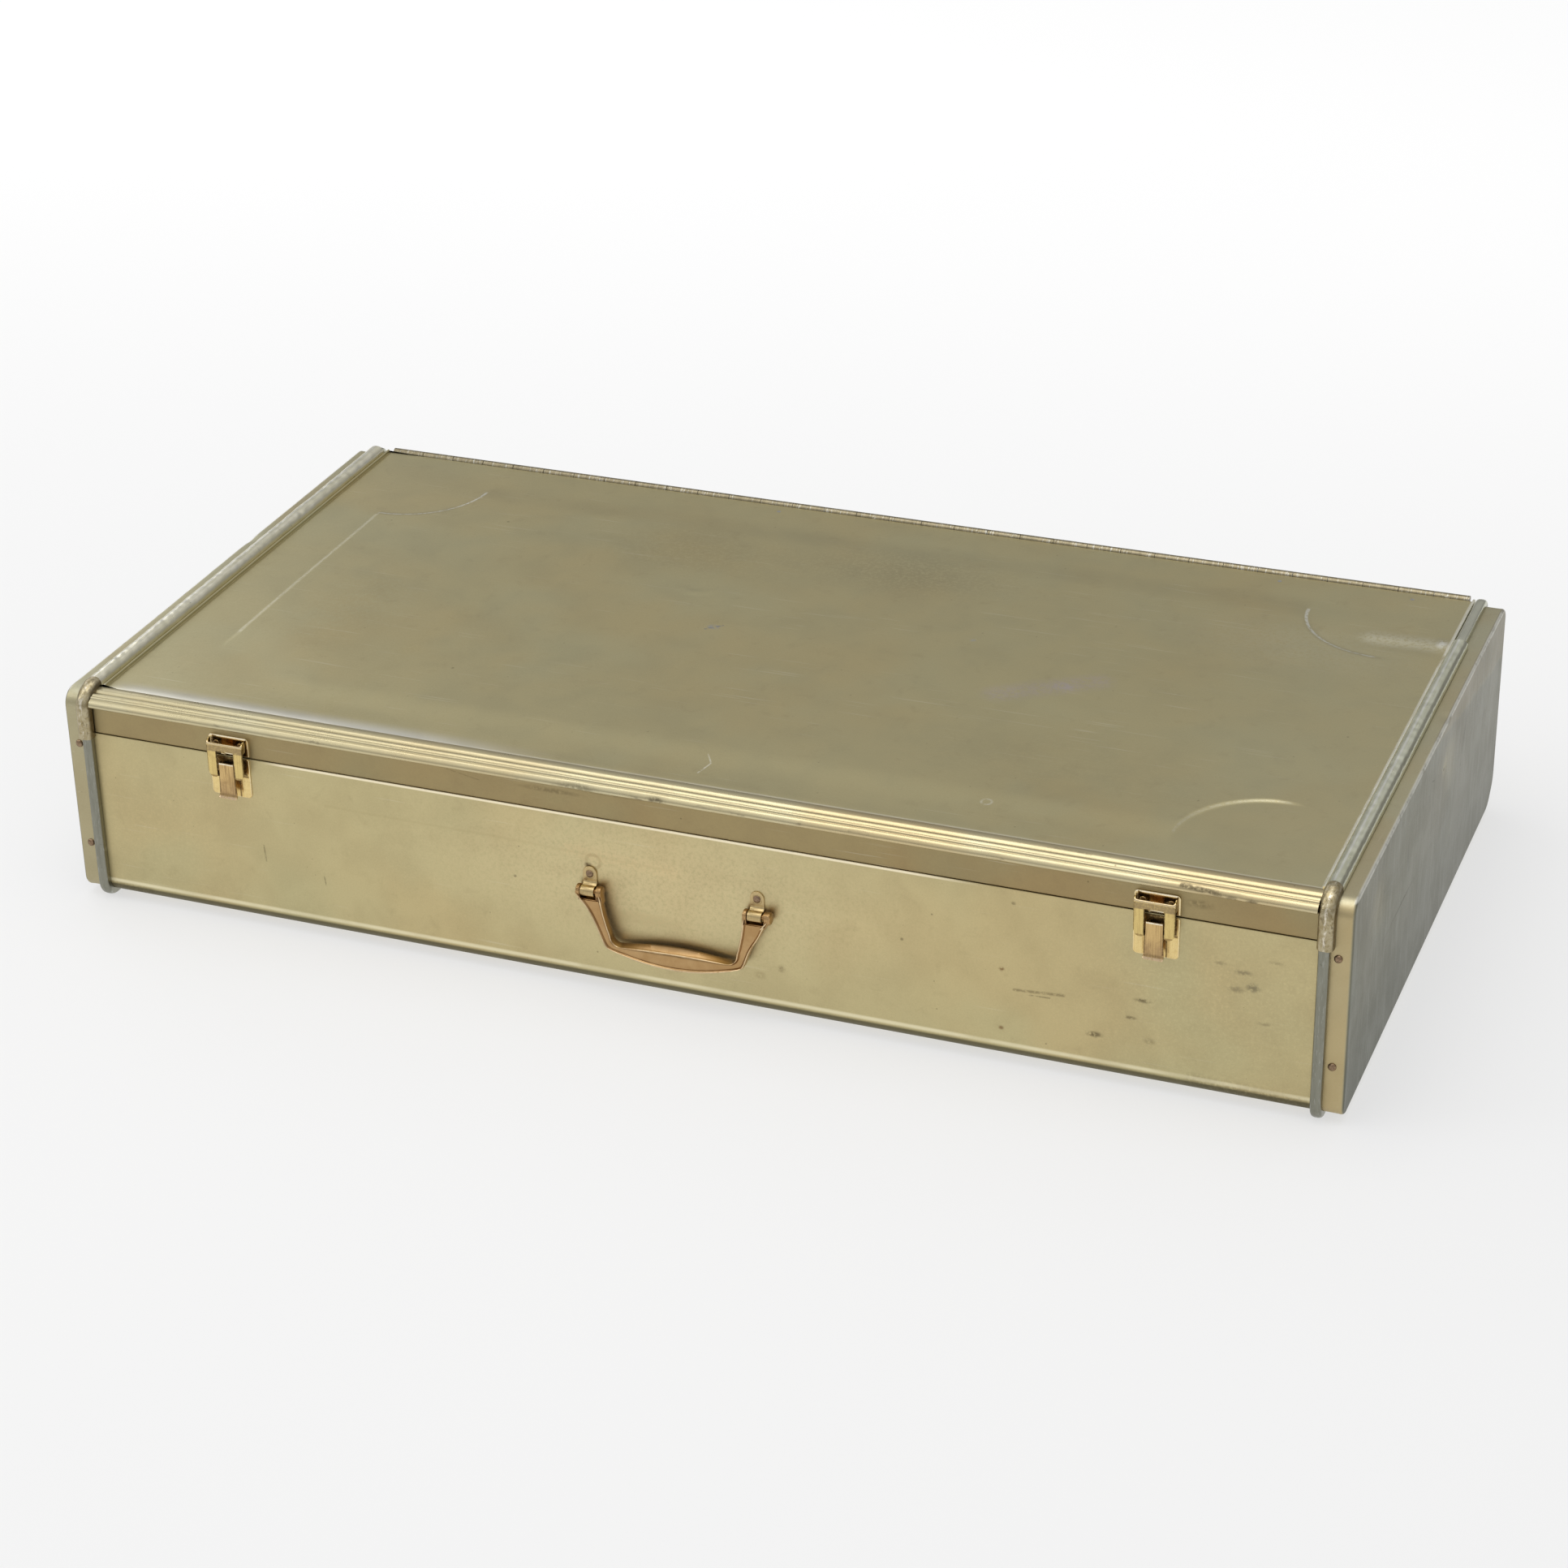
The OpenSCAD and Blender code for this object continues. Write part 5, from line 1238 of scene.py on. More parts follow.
def skirt():
    y0, y1 = box("lid_skirt")[0][1], box("lid_skirt")[1][1]
    z0, z1 = box("lid_skirt")[0][2], box("lid_skirt")[1][2]
    zz = np.concatenate([[z0 + 1.0, z0 + 1.8, z0 + 3], np.linspace(z0 + 5, z1, 10)])
    outer = [(y0 + 0.35, z0 + 0.0), (y0 + 0.08, z0 + 0.15), (y0 - 0.12, z0 + 0.45), (y0 - 0.10, z0 + 0.7)] + [(y0, z) for z in zz]
    inner = [(y1, z1), (y1, z0 + 6), (y1, z0 + 0.3), (y1 - 0.2, z0)]
    sec = np.array(outer + inner)
    xs = np.linspace(-LX, LX, 200)
    G = np.zeros((len(xs), len(sec), 3))
    G[..., 0] = xs[:, None]; G[..., 1] = sec[None, :, 0]; G[..., 2] = sec[None, :, 1]
    w1 = wave(91, 60, 260, 10)
    n = len(outer)
    zf = G[:, :n, 2]
    G[:, :n, 1] += 0.10 * w1(G[:, :n, 0], zf * 2) * sm(z1 - zf, 0, 8) * sm(zf, z0, z0 + 6)
    b = Build()
    b.grid(G, cv=True, cap=True)
    return piece("lid_front_skirt", b, M_SKIRT_SHADED, "lid", "lid_skirt", 50)


skirt()


# ------------------------------------------------------------------ tubes over the rims
def channel(name, s, node, y_end, seed):
    w1, w2, w3 = wave(seed, 5, 18, 16), wave(seed + 1, 30, 120, 10), wave(seed + 2, 2.5, 7, 16)
    r = np.random.default_rng(seed)
    cx = (LX + RO + 2.3) / 2
    hw = (RO + 2.3 - LX) / 2
    zt = CH_TOP
    rr = 4.3

    def sect(q, low_in, low_out):
        """outer (q = 0) or inner (q = 0.9) skin, from the lid side over the top to the end-box side"""
        P = [(cx - hw + q, low_in), (cx - hw + q, low_in + 1.5), (cx - hw + q, zt - rr)]
        for a in np.radians(np.linspace(180, 0, 17))[1:-1]:
            c, t = math.cos(a), math.sin(a)
            P.append((cx + (hw - q) * abs(c) ** 0.85 * (1 if c > 0 else -1), zt - rr + (rr - q) * abs(t) ** 0.85))
        P += [(cx + hw - q, zt - rr), (cx + hw - q, low_out)]
        return P
    o = sect(0, LU, CAP + 0.38)
    i = sect(0.9, LU, CAP + 0.38)
    sec = np.array(o + i[::-1])
    ys = np.arange(RAIL - 0.5, y_end, 1.9)
    ys = np.concatenate([ys, [y_end]])
    G = np.zeros((len(ys), len(sec), 3))
    G[..., 0] = sec[None, :, 0]; G[..., 1] = ys[:, None]; G[..., 2] = sec[None, :, 1]
    n = len(o)
    X, Y, Z = G[:, :n, 0], G[:, :n, 1], G[:, :n, 2]
    up = sm(Z, zt - rr, zt - 0.5)
    a = np.arctan2(Z - (zt - rr), X - cx)
    d = up * (0.10 * w1(Y, a * 5) + 0.07 * w2(Y, a * 5) + 0.03 * w3(Y, a * 6) - 0.13)
    for q in range(34):
        y0, a0, k, sg = r.uniform(RAIL, y_end), r.uniform(0.3, 2.8), r.uniform(0.1, 0.45), r.uniform(1.5, 5.0)
        d -= k * up * np.exp(-((Y - y0) / sg) ** 2 - ((a - a0) / 0.35) ** 2)
    G[:, :n, 0] += np.cos(a) * d
    G[:, :n, 2] += np.sin(a) * d
    b = Build()
    b.grid(G, cv=True, cap=True)
    if s < 0:
        b.mirror()
    return piece(name, b, M_TUBE if s > 0 else M_TUBE_L, "lid", node, 50)


channel("side_tube_right", 1, "lid_channel_right", CH1[1], 101)
channel("side_tube_left", -1, "lid_channel_left", CL1[1], 111)


def corner(name, s, node, seed):
    w1, w2 = wave(seed, 5, 14, 16), wave(seed + 3, 2.5, 7, 16)
    cx = (LX + RO + 2.3) / 2
    hw = (RO + 2.3 - LX) / 2
    z_end = box("lid_corner_right")[0][2]
    # path seen from the end: along the top, round the corner, down the front
    path, nrm = [], []
    for y in np.linspace(RAIL, R_TF, 4):
        path.append((y, CAP)); nrm.append((0, 1))
    for a in np.radians(np.linspace(90, 180, 19)[1:]):
        path.append((R_TF + R_TF * math.cos(a), CAP - R_TF + R_TF * math.sin(a))); nrm.append((math.cos(a), math.sin(a)))
    for z in np.linspace(CAP - R_TF, z_end, 16)[1:]:
        path.append((0, z)); nrm.append((-1, 0))
    path, nrm = np.array(path), np.array(nrm)
    hgt = RTOP + 1.7
    u = np.linspace(0, 1, len(path))
    G = []
    sec_o, sec_i = [], []
    for a in np.radians(np.linspace(180, 0, 19)):
        c, t = math.cos(a), math.sin(a)
        sec_o.append((hw * abs(c) ** 0.8 * (1 if c > 0 else -1), 0.5 + (hgt - 0.5) * abs(t) ** 0.8))
        sec_i.append(((hw - 0.9) * abs(c) ** 0.8 * (1 if c > 0 else -1), 0.5 + (hgt - 1.4) * abs(t) ** 0.8))
    for k in range(len(path)):
        low = sm(path[k, 1], CAP - R_TF, z_end) if nrm[k, 0] < -0.99 else 0.0
        flare = 0.30 * sm(path[k, 1], z_end + 5.5, z_end + 1.0) * (nrm[k, 0] < -0.99)
        row = []
        for j, (x, o) in enumerate(sec_o):
            a = math.pi - math.pi * j / (len(sec_o) - 1)
            t = math.sin(a)
            dd = (0.16 * w1(k * 1.6, x * 1.2) + 0.07 * w2(k * 1.6, x * 1.2) - 0.20) * t + float(flare) * t
            # creases where the metal was folded round the corner
            dd -= 0.26 * t * gauss(k - 6.5, 0.8) + 0.20 * t * gauss(k - 12.0, 0.7)
            q = o + dd
            row.append((cx + x * (1 + 0.02 * float(flare)), path[k, 0] + nrm[k, 0] * q, path[k, 1] + nrm[k, 1] * q))
        for j, (x, o) in list(enumerate(sec_i))[::-1]:
            row.append((cx + x, path[k, 0] + nrm[k, 0] * o, path[k, 1] + nrm[k, 1] * o))
        G.append(row)
    b = Build()
    b.grid(np.array(G), cv=True, cap=True)
    if s < 0:
        b.mirror()
    return piece(name, b, M_CORNER, "lid", node, 55)


corner("corner_cover_right", 1, "lid_corner_right", 121)
corner("corner_cover_left", -1, "lid_corner_left", 131)


# ------------------------------------------------------------------ handle
HJ = next(j for j in frame["joints"] if j["name"] == "handle_swing")
HX, HY, HZ = HJ["pos_m"][0] * 1000, HJ["pos_m"][1] * 1000 - OY, HJ["pos_m"][2] * 1000 - OZ
TILT = math.atan2(-HJ["axis"][2], -HJ["axis"][0])
BPX = 55.4


def at_handle(V):
    V = np.asarray(V, float).reshape(-1, 3)
    c, s = math.cos(TILT), math.sin(TILT)
    return np.stack([HX + V[:, 0] * c - V[:, 2] * s, HY + V[:, 1], HZ + V[:, 0] * s + V[:, 2] * c], -1)


def prism_x(poly, x0, x1, bev=0.2, seg=2):
    V, F = bevel_plate(poly, x1 - x0, bev, seg)
    return np.stack([x0 + V[:, 1], V[:, 0], V[:, 2]], -1), F


def handle():
    def arc_z(x):
        return -45.4 + (121 - math.sqrt(121 * 121 - x * x))
    out_a = [(x, arc_z(x)) for x in np.linspace(0, 44.9, 14)]
    out_b = [(45.9, -36.0), (47.2, -33.2), (50, -25.4), (52.3, -19.2), (54.9, -13.2), (57.7, -8.4), (60.6, -4.6)]
    in_a = [(x, -33.2 - 1.2 * x * x / 1267) for x in np.linspace(0, 34.5, 12)]
    in_b = [(35.6 + 6 * math.cos(a), -28.2 - 6.2 * math.sin(a)) for a in np.radians([82, 68, 52, 36, 20, 6])]
    in_b += [(41.9, -26.4), (42.8, -24), (44.1, -18.8), (45.3, -13.6), (46.3, -7.5), (46.75, -4.6)]
    n1, n2 = 26, 34
    O = np.concatenate([resample(out_a, n1), resample([out_a[-1]] + out_b, n2 + 1)[1:]])
    I = np.concatenate([resample(in_a, n1), resample([in_a[-1]] + in_b, n2 + 1)[1:]])
    # soften each outline a little
    for A in (O, I):
        for _ in range(2):
            A[1:-1] = A[1:-1] * 0.5 + (A[:-2] + A[2:]) * 0.25
    OR = O.copy()
    OR[:, 0] += 2.2 * np.exp(-((OR[:, 1] + 12.0) / 8.0) ** 2)
    O = np.concatenate([O[::-1] * [-1, 1], OR[1:]])
    I = np.concatenate([I[::-1] * [-1, 1], I[1:]])
    slide = 1.1
    rows = []
    for o, i in zip(O, I):
        w = np.linalg.norm(o - i)
        d = (o - i) / w
        m = w / 2
        sec = [(0.0, -2.9), (0.10, -4.0), (0.38, -4.62), (0.75, -4.8), (1.10, -4.62), (1.36, -4.2), (1.55, -3.74), (1.78, -3.62), (2.1, -3.80), (2.6, -3.95)]
        for q in (0.35, 0.5, 0.65):
            sec.append((2.6 + (w - 5.2) * (q - 0.2) / 0.6, -4.0 - 0.14 * math.sin(math.pi * q)))
        sec += [(w - 2.6, -3.95), (w - 2.1, -3.80), (w - 1.78, -3.62), (w - 1.55, -3.74), (w - 1.36, -4.2), (w - 1.10, -4.62), (w - 0.75, -4.8), (w - 0.38, -4.62), (w - 0.10, -4.0), (w, -2.9),
                (w, 0.4), (w - 0.35, 1.5), (w - 1.3, 2.0), (m, 2.0), (1.6, 1.95), (0.55, 1.35), (0.12, 0.3), (0.0, -1.2)]
        swell = 2.6 * max(0.0, 1 - (i[0] / 36.0) ** 2) if i[1] < -26 else 0.0
        rows.append([(i[0] + d[0] * q, y, i[1] + d[1] * q + swell * sm(y, -3.4, -1.2) * sm(w * 0.5 - q, 0, w * 0.3)) for q, y in sec])
    G = np.array(rows)
    w1 = wave(141, 14, 60, 10)
    G[..., 1] += 0.05 * w1(G[..., 0], G[..., 2]) * (G[..., 1] < -3)
    G[..., 1] = np.maximum(G[..., 1], -4.8)
    b = Build()
    G[..., 0] += slide
    b.grid(at_handle(G).reshape(G.shape), cv=True, cap=True)
    for s in (-1, 1):
        e = Build()
        tip = 64.9 if s > 0 else 63.9
        # inner ear
        w = 49.3 if s > 0 else 50.6
        V, F = bevel_plate([(46.2, -6.6), (w - 0.2, -6.6), (w, -4.0), (w, 0.6), (46.9, 0.6), (46.4, -3.2)], 5.6, 0.5, 2)
        e.add(V + [0, -3.6, 0], F)
        rod(e, (46.8, 0, 0), (w + 0.05, 0, 0), 4.05, 30, 0.22, 4)
        # outer ear, its shoulder drawn out to a soft point
        q = 60.4 if s > 0 else 61.3
        k = 1.6 if s > 0 else 0.0
        V, F = bevel_plate([(56.6, -7.6), (58.4 + k, -7.6), (61.0 + k, -4.4), (tip - 0.3, -0.2), (tip + 0.1, 1.2), (tip - 0.5, 3.0), (tip - 1.6, 3.9), (q, 3.8), (q, -4.2), (57.6, -4.6)], 5.4, 0.8, 3)
        e.add(V + [0, -3.6, 0], F)
        rod(e, (q - 0.05, 0, 0), (tip, 0, 0), 4.05, 30, 0.45, 6)
        # web under the bracket
        V, F = bevel_plate([(47.0, -7.2), (58.6, -7.2), (60.2, -4.35), (47.2, -4.35)], 5.2, 0.4, 2)
        e.add(V + [0, -3.5, 0], F)
        # raised border carried up both ears
        for pts, r in (([(46.95, -4.28, -6.5), (47.35, -4.3, -3.6), (47.9, -4.15, -1.0), (48.2, -3.6, 1.6)], [0.55, 0.55, 0.5, 0.35]),
                       ([(58.9, -4.28, -6.2), (60.6, -4.3, -3.9), (62.6, -4.2, -1.4), (63.8, -3.6, 0.4)], [0.55, 0.6, 0.55, 0.4])):
            e.grid(tube(resample(chaikin(pts, 2), 12), resample(np.array(r)[:, None] * [1, 0], 12)[:, 0], 10, up=(0, 1, 0)), cv=True, cap=True)
        for v in e.V:
            # the ears stay inside the swing's clearance to the panel
            a = np.arctan2(v[:, 2], v[:, 1])
            r = np.hypot(v[:, 1], v[:, 2])
            k = np.where((a > 0) & (a < np.radians(150)), np.minimum(1.0, 4.3 / np.maximum(r, 1e-6)), 1.0)
            v[:, 1] *= k
            v[:, 2] *= k
            q = np.maximum(-0.866 * v[:, 1] + 0.5 * v[:, 2] - 4.3, 0.0)
            v[:, 1] += 0.866 * q
            v[:, 2] -= 0.5 * q
            v[:, 0] = v[:, 0] * s + slide
        for V in e.V:
            V[:] = at_handle(V)
        b.V += e.V
        b.F += [tuple(k + b.n for k in f) for f in e.F]
        b.n += e.n
    o = piece("handle_casting", b, M_HANDLE, "handle", "handle", 50)
    at = o.data.attributes.new("rub", "FLOAT", "POINT")
    co = np.zeros(len(o.data.vertices) * 3)
    o.data.vertices.foreach_get("co", co)
    y = co.reshape(-1, 3)[:, 1] * 1000 - OY - HY
    # rub: positive on the raised border's front, which is rubbed paler; negative along the groove beside it, which is
    # darker, and on the back of the casting, where it paints shade
    at.data.foreach_set("value", (sm(-y, 4.35, 4.7) - np.exp(-((-y - 3.62) / 0.05) ** 2) - 0.52 * sm(y, -3.1, -1.0)).astype(np.float32))
    return o


handle()


def bracket(name, s, node):
    b = Build()
    y1 = -HY
    cx = s * BPX
    # tab with a round head
    poly = [(-4.6, 2.0)] + [(-4.6, 6.0)] + [(4.6 * math.cos(a), 10.5 + 4.6 * math.sin(a)) for a in np.radians(np.linspace(180, 0, 17))] + [(4.6, 6.0), (4.6, 2.0)]
    V, F = bevel_plate([(cx + x, z) for x, z in poly], T, 0.35, 3)
    b.add(V + [0, y1 - T, 0], F)
    # dished ring round the rivet
    A = np.linspace(0, 2 * np.pi, 28, endpoint=False)
    G = []
    for r, h in ((3.45, 0.0), (3.25, 0.16), (2.95, 0.18), (2.7, 0.02)):
        G.append(np.stack([cx + r * np.cos(A), np.full(28, y1 - T - h), 10 + r * np.sin(A)], -1))
    b.grid(np.array(G), cv=True)
    # sheet rolled into a barrel
    prof = [(3.5 * math.cos(a), 3.5 * math.sin(a)) for a in np.radians(np.linspace(62, 292, 24))]
    prof += [(2.9, -2.4), (y1 - 0.35, -1.2), (y1, -0.4), (y1, 6.6), (y1 - T + 0.12, 6.6), (y1 - T, 5.4), (y1 - T - 0.1, 4.6), (y1 - T - 0.4, 4.0), (y1 - T - 0.95, 3.65)]
    V, F = prism_x(prof, cx - 4.6, cx + 4.6, 0.3, 2)
    b.add(V, F)
    # the sheet's end closing the roll, seen as a fine step on the front
    b.add(*prism_x([(-3.05, -1.9), (-3.62, -0.4), (-3.62, 0.25), (-3.1, 0.2)], cx - 4.45, cx + 4.45, 0.08, 1))
    for V in b.V:
        V[:] = at_handle(V)
    return piece(name, b, M_BRACKET, "case_body", node, 42)


bracket("handle_bracket_plate_left", -1, "handle_bracket_left")
bracket("handle_bracket_plate_right", 1, "handle_bracket_right")

b = Build()
for k, s in enumerate((-1, 1)):
    e = Build()
    rivet(e, (s * BPX, -HY - T - 0.02, 10), (0, -1, 0), 5.0, 1.0, 160 + k, 24)
    rod(e, (s * BPX, -HY + T + 1.4, 10), (s * BPX, -HY + T + 2.5, 10), 2.0, 20)
    for V in e.V:
        V[:] = at_handle(V)
    b.V += e.V; b.F += [tuple(i + b.n for i in f) for f in e.F]; b.n += e.n
piece("handle_rivet_heads", b, M_RIVET, "case_body", "handle_rivets", 60)


# ------------------------------------------------------------------ latches
def latch(side):
    a, c = box(f"latch_base_{side}")
    cx = (a[0] + c[0]) / 2
    S = SEAM

    def shift(b):
        for V in b.V:
            V[:, 0] += cx
        return b
    body, lv, yk = "case_body", f"latch_lever_{side}", f"latch_yoke_{side}"
    LJ = next(j for j in frame["joints"] if j["child"] == lv)
    YJ = next(j for j in frame["joints"] if j["child"] == yk)
    ly, lz = LJ["pos_m"][1] * 1000 - OY, LJ["pos_m"][2] * 1000 - OZ
    py, pz = YJ["pos_m"][1] * 1000 - OY, YJ["pos_m"][2] * 1000 - OZ

    # base plate
    b = Build()
    zb, zt = S - 28.2, S - 0.7
    poly = [(14, zt), (-14, zt)]
    poly = [(-13.4, zt), (-14, zt - 0.6)] + [(-11 + 3 * math.cos(t), zb + 3 + 3 * math.sin(t)) for t in np.radians(np.linspace(180, 270, 8))] + \
           [(11 + 3 * math.cos(t), zb + 3 + 3 * math.sin(t)) for t in np.radians(np.linspace(270, 360, 8))] + [(14, zt - 0.6), (13.4, zt)]
    V, F = bevel_plate(poly, 1.0, 0.42, 3)
    b.add(V + [0, -1.0, 0], F)
    for s in (-1, 1):
        pr = [(-0.9, lz - 2.2), (ly + 1.4, lz - 2.2), (ly + 0.9, lz - 1.3)] + [(ly + 1.4 * math.cos(t), lz + 1.4 * math.sin(t)) for t in np.radians(np.linspace(250, 60, 12))] + [(ly + 1.2, lz + 0.9), (-0.9, lz + 0.9)]
        b.add(*prism_x(pr, s * 3.7 - 0.5, s * 3.7 + 0.5, 0.12, 1))
    piece(f"latch_plate_{side}", shift(b), M_BRASS, body, f"latch_base_{side}", 42)

    # lever: flaring front with a turned-out finger lip and side flanges
    b = Build()
    loop = [(-5.15, S - 3.25), (-5.55, S - 3.1), (-5.9, S - 3.25), (-6.0, S - 3.7), (-6.0, S - 7), (-6.02, S - 11), (-6.02, S - 15), (-6.0, S - 19), (-6.02, S - 22.6),
            (-6.15, S - 24.3), (-6.6, S - 25.5), (-7.2, S - 26.4), (-7.58, S - 27.0), (-7.5, S - 27.4), (-7.1, S - 27.45), (-6.6, S - 27.0), (-5.9, S - 26.2),
            (-5.4, S - 25.2), (-5.15, S - 24), (-5.1, S - 20), (-5.1, S - 15), (-5.1, S - 10), (-5.1, S - 4)]
    loop = np.array(loop)

    def half(z):
        return 5.4 + 0.8 * np.clip((S - 15 - z) / 10.6, 0, 1)
    us = [-1, -0.985, -0.955, -0.9, -0.8, -0.55, -0.28, 0, 0.28, 0.55, 0.8, 0.9, 0.955, 0.985, 1]
    G = []
    for u in us:
        r = []
        k = (max(0, abs(u) - 0.86) / 0.14) ** 2
        for y, z in loop:
            w = half(z)
            front = y < -5.5 or z < S - 25
            yy = y + (0.42 * k if y < -5.5 else 0)
            zz = z + (0.35 * k if z < S - 26.6 else 0) - (0.25 * k if z > S - 3.4 else 0)
            # shallow hollow down the middle of the face
            if y < -5.8 and S - 24 < z < S - 5:
                yy += 0.10 * (1 - u * u)
            r.append((u * w, yy, zz))
        G.append(r)
    b.grid(np.array(G), cv=True, cap=True)
    for s in (-1, 1):
        pr = [(-5.25, S - 3.3), (-4.6, S - 3.15), (ly, lz + 1.7), (ly + 1.2, lz + 1.2), (ly + 2.0, lz - 0.4), (py + 1.9, pz + 1.6), (py + 1.8, pz), (py + 0.6, pz - 1.8), (-5.25, S - 19)]
        b.add(*prism_x(pr, s * 4.95 - 0.45, s * 4.95 + 0.45, 0.15, 2))
    piece(f"latch_lever_plate_{side}", shift(b), M_LEVER, lv, f"latch_lever_{side}", 42)

    # yoke
    b = Build()
    arm = lambda s: [(s * 5.95, S + 5.3), (s * 5.95, S - 12.3), (s * 7.2, S - 13.3), (s * 9.6, S - 13.3), (s * 11.0, S - 12.6), (s * 11.9, S - 11.2), (s * 12.55, S - 8.9), (s * 12.6, S + 9.4)]
    R_, L_ = arm(1), arm(-1)
    V, F = bevel_plate(R_ + [(12.2, S + 10.2), (-12.2, S + 10.2)] + L_[::-1], 0.9, 0.28, 2)
    b.add(V + [0, -6.4, 0], F)
    piece_path = [(-12.15, -2.1, S + 12.3), (-12.15, -3.5, S + 12.1), (-12.15, -4.9, S + 11.3), (-11.95, -5.8, S + 10.6), (-11.2, -6.1, S + 10.2), (-9.5, -6.15, S + 10.15), (0, -6.15, S + 10.15)]
    pth = piece_path + [(-x, y, z) for x, y, z in piece_path[:-1][::-1]]
    pth = resample(chaikin(pth, 2), 60)
    b.grid(tube(pth, np.interp(np.arange(60), [0, 6, 53, 59], [0.5, 0.78, 0.78, 0.5]), 12, up=(0, 0.3, 1)), cv=True, cap=True)
    for s in (-1, 1):
        pr = [(-5.7, S + 4.5), (-2.2, S + 5.5), (-1.8, S + 9), (-1.8, S + 12.5), (-3.4, S + 13.0), (-4.6, S + 12.2), (-5.5, S + 11.2), (-6.1, S + 10.2)]
        b.add(*prism_x(pr, s * 12.15 - 0.45, s * 12.15 + 0.45, 0.25, 2))
        b.add(*bevel_box((s * 6.35 - 0.45, -5.6, pz - 1.8), (s * 6.35 + 0.45, py, pz + 1.8), 0.15))
        e = Build(); rod(e, (s * 6.35 - 0.45, py, pz), (s * 6.35 + 0.45, py, pz), 1.8, 22, 0.1, 2)
        b.add(e.V[0], e.F)
    b.add(*bevel_box((-4.6, -5.6, S + 5.3), (4.6, -3.0, S + 6.2), 0.25))
    piece(f"latch_yoke_plate_{side}", shift(b), M_YOKE, yk, f"latch_yoke_{side}", 42)

    # keeper with its catch
    b = Build()
    ky = box(f"latch_keeper_{side}")[1][1] - 1.0
    poly = [(-14, S + 1.2), (14, S + 1.2), (14, S + 11.6)] + [(11.5 + 2.5 * math.cos(t), S + 11.6 + 2.5 * math.sin(t)) for t in np.radians(np.linspace(10, 90, 7))] + \
           [(-11.5 + 2.5 * math.cos(t), S + 11.6 + 2.5 * math.sin(t)) for t in np.radians(np.linspace(90, 170, 7))] + [(-14, S + 11.6)]
    V, F = bevel_plate(poly, 1.0, 0.38, 3)
    b.add(V + [0, ky, 0], F)
    sy = ky + 1.0
    pr = [(sy - 1, S + 1.3), (sy - 2.2, S + 1.3), (sy - 2.75, S + 2.0), (sy - 2.9, S + 3.3), (sy - 2.85, S + 4.3), (sy - 2.2, S + 4.6), (sy - 1.5, S + 4.2), (sy - 1, S + 3.6)]
    b.add(*prism_x(pr, -5, 5, 0.4, 3))
    piece(f"latch_keeper_plate_{side}", shift(b), M_LIP, "lid", f"latch_keeper_{side}", 42)
    return cx


LCX = {s: latch(s) for s in ("left", "right")}

b = Build()
for k, s in enumerate(("left", "right")):
    for z, l in ((SEAM - 23.5, 2.2), (SEAM - 16.5, 3.4)):
        rivet(b, (LCX[s], -1.02, z), (0, -1, 0), 4.2, 0.7, 170 + k, 20)
        rod(b, (LCX[s], l - 1.02, z), (LCX[s], l - 0.2, z), 1.68, 18)
piece("latch_rivet_heads_body", b, M_RIVET2, "case_body", "latch_rivets_body", 60)
b = Build()
ky = box("latch_keeper_left")[1][1] - 1.0
for k, s in enumerate(("left", "right")):
    for q in (-1, 1):
        rivet(b, (LCX[s] + q * 8.5, ky - 0.02, SEAM + 8.2), (0, -1, 0), 4.0, 0.5, 180 + k, 20)
        rod(b, (LCX[s] + q * 8.5, ky + 2.18, SEAM + 8.2), (LCX[s] + q * 8.5, ky + 3.0, SEAM + 8.2), 1.6, 18)
piece("latch_rivet_heads_lid", b, M_RIVET2, "lid", "latch_rivets_lid", 60)

# ------------------------------------------------------------------ CAD nodes that stay
for names, m in ((("front_tongue", "handle_backplate"), M_MILL), (("hinge_leaf_body", "hinge_leaf_lid"), M_HINGE),
                 (("hinge_pin", "hinge_rivets_body", "hinge_rivets_lid"), M_STEEL),
                 (("handle_pin_left", "handle_pin_right"), M_HANDLE),
                 (("latch_lever_pin_left", "latch_lever_pin_right", "latch_yoke_pin_left", "latch_yoke_pin_right"), M_PIN)):
    for n in names:
        o = frame["nodes"][n]
        if not o.material_slots:
            o.data.materials.append(m)
        for sl in o.material_slots:
            sl.material = m

# ------------------------------------------------------------------ floor, light, camera
fz = cad_box[0][2]
fm = Nodes("floor_pale")
n1 = fm.noise(900, 2.0, 0.5)
# the floor's colour lightens towards the back, a painted brightening of the far floor; its even emission makes it glow
# as a light table
far = fm.mapr(fm.axis(1), 250.0, 1900.0)
fm.done(fm.mix(far, fm.mix(n1, (0.275, 0.275, 0.275), (0.290, 0.290, 0.290)), (0.42, 0.42, 0.42)), 0.80, 0.0)
fb = next(n for n in fm.t.nodes if n.type == "BSDF_PRINCIPLED")
fb.inputs["Emission Color"].default_value = (1, 1, 1, 1)
fb.inputs["Emission Strength"].default_value = 0.60
b = Build()
me = bpy.data.meshes.new("floor")
R = 14.0
me.from_pydata([(-R, -R, fz), (R, -R, fz), (R, R, fz), (-R, R, fz)], [], [(0, 1, 2, 3)])
me.materials.append(fm.m)
floor = bpy.data.objects.new("floor", me)
bpy.context.scene.collection.objects.link(floor)

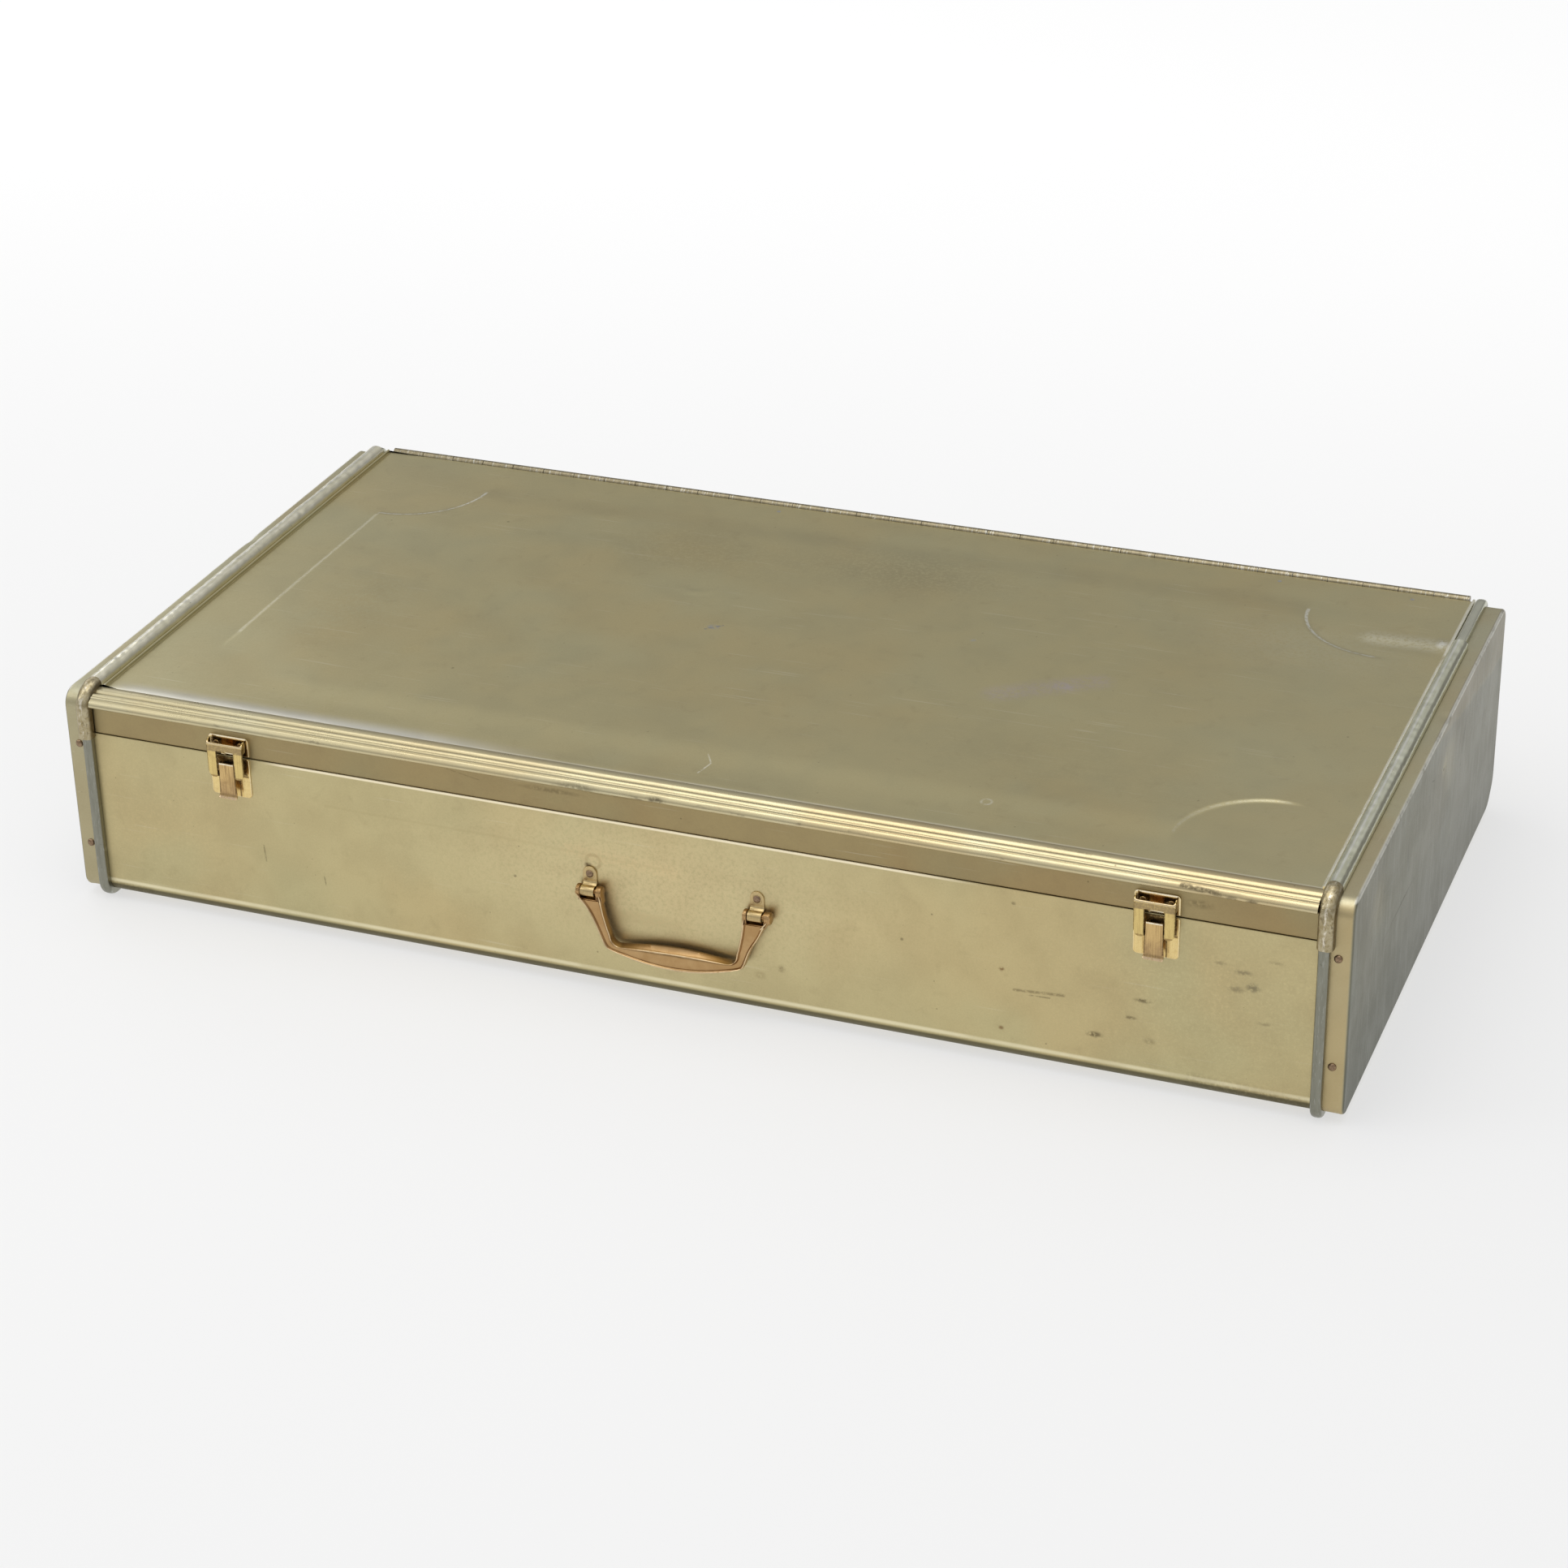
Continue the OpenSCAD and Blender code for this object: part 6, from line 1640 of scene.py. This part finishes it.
world = bpy.data.worlds.new("studio")
bpy.context.scene.world = world
world.use_nodes = True
nt = world.node_tree
nt.nodes.clear()
wo = nt.nodes.new("ShaderNodeOutputWorld")
bg = nt.nodes.new("ShaderNodeBackground")
nt.links.new(bg.outputs[0], wo.inputs[0])
tc = nt.nodes.new("ShaderNodeTexCoord")
sx = nt.nodes.new("ShaderNodeSeparateXYZ")
nt.links.new(tc.outputs["Generated"], sx.inputs[0])
mr = nt.nodes.new("ShaderNodeMapRange")
mr.interpolation_type = "SMOOTHSTEP"
mr.inputs[1].default_value, mr.inputs[2].default_value = 0.10, 0.98
mr.inputs[3].default_value, mr.inputs[4].default_value = 0.34, 0.88
nt.links.new(sx.outputs[2], mr.inputs[0])
my = nt.nodes.new("ShaderNodeMapRange")
my.interpolation_type = "SMOOTHSTEP"
my.inputs[1].default_value, my.inputs[2].default_value = -0.9, 0.7
my.inputs[3].default_value, my.inputs[4].default_value = 1.25, 0.80
nt.links.new(sx.outputs[1], my.inputs[0])
mu = nt.nodes.new("ShaderNodeMath")
mu.operation = "MULTIPLY"
nt.links.new(mr.outputs[0], mu.inputs[0])
nt.links.new(my.outputs[0], mu.inputs[1])
nt.links.new(mu.outputs[0], bg.inputs["Strength"])
bg.inputs["Color"].default_value = (1, 1, 1, 1)


def softbox(name, loc, target, size, power, col=(1, 1, 1)):
    l = bpy.data.lights.new(name, "AREA")
    l.shape = "RECTANGLE"
    l.size, l.size_y = size
    l.energy = power
    l.color = col
    o = bpy.data.objects.new(name, l)
    o.location = loc
    o.rotation_euler = (Vector(target) - Vector(loc)).to_track_quat("-Z", "Y").to_euler()
    bpy.context.scene.collection.objects.link(o)
    return o


softbox("softbox_top", (-0.3, -0.2, 3.0), (0, 0, 0), (2.6, 2.2), 26)
softbox("softbox_left", (-2.6, -1.2, 1.7), (0, 0, 0.1), (1.6, 1.6), 14)

softbox("softbox_back_left", (-2.7, 1.9, 1.7), (-0.2, 0, 0.1), (1.5, 1.3), 8)

cam_d = bpy.data.cameras.new("camera")
cam_d.lens = 86.23
cam_d.sensor_width = 36.0
cam_d.clip_start, cam_d.clip_end = 0.05, 60
cam = bpy.data.objects.new("camera", cam_d)
az, el, ro = math.radians(21.673), math.radians(27.819), math.radians(-1.186)
d = Vector((-math.sin(az) * math.cos(el), math.cos(az) * math.cos(el), -math.sin(el)))
right = Vector((math.cos(az), math.sin(az), 0))
up = right.cross(d)
r1 = right * math.cos(ro) + up * math.sin(ro)
u1 = -right * math.sin(ro) + up * math.cos(ro)
m = Matrix((r1, u1, -d)).transposed().to_4x4()
m.translation = Vector((0.80299, (-1833.97 + OY) / 1000, (1203.76 + OZ) / 1000))
cam.matrix_world = m
bpy.context.scene.collection.objects.link(cam)
bpy.context.scene.camera = cam
bpy.context.scene.view_settings.view_transform = "Standard"
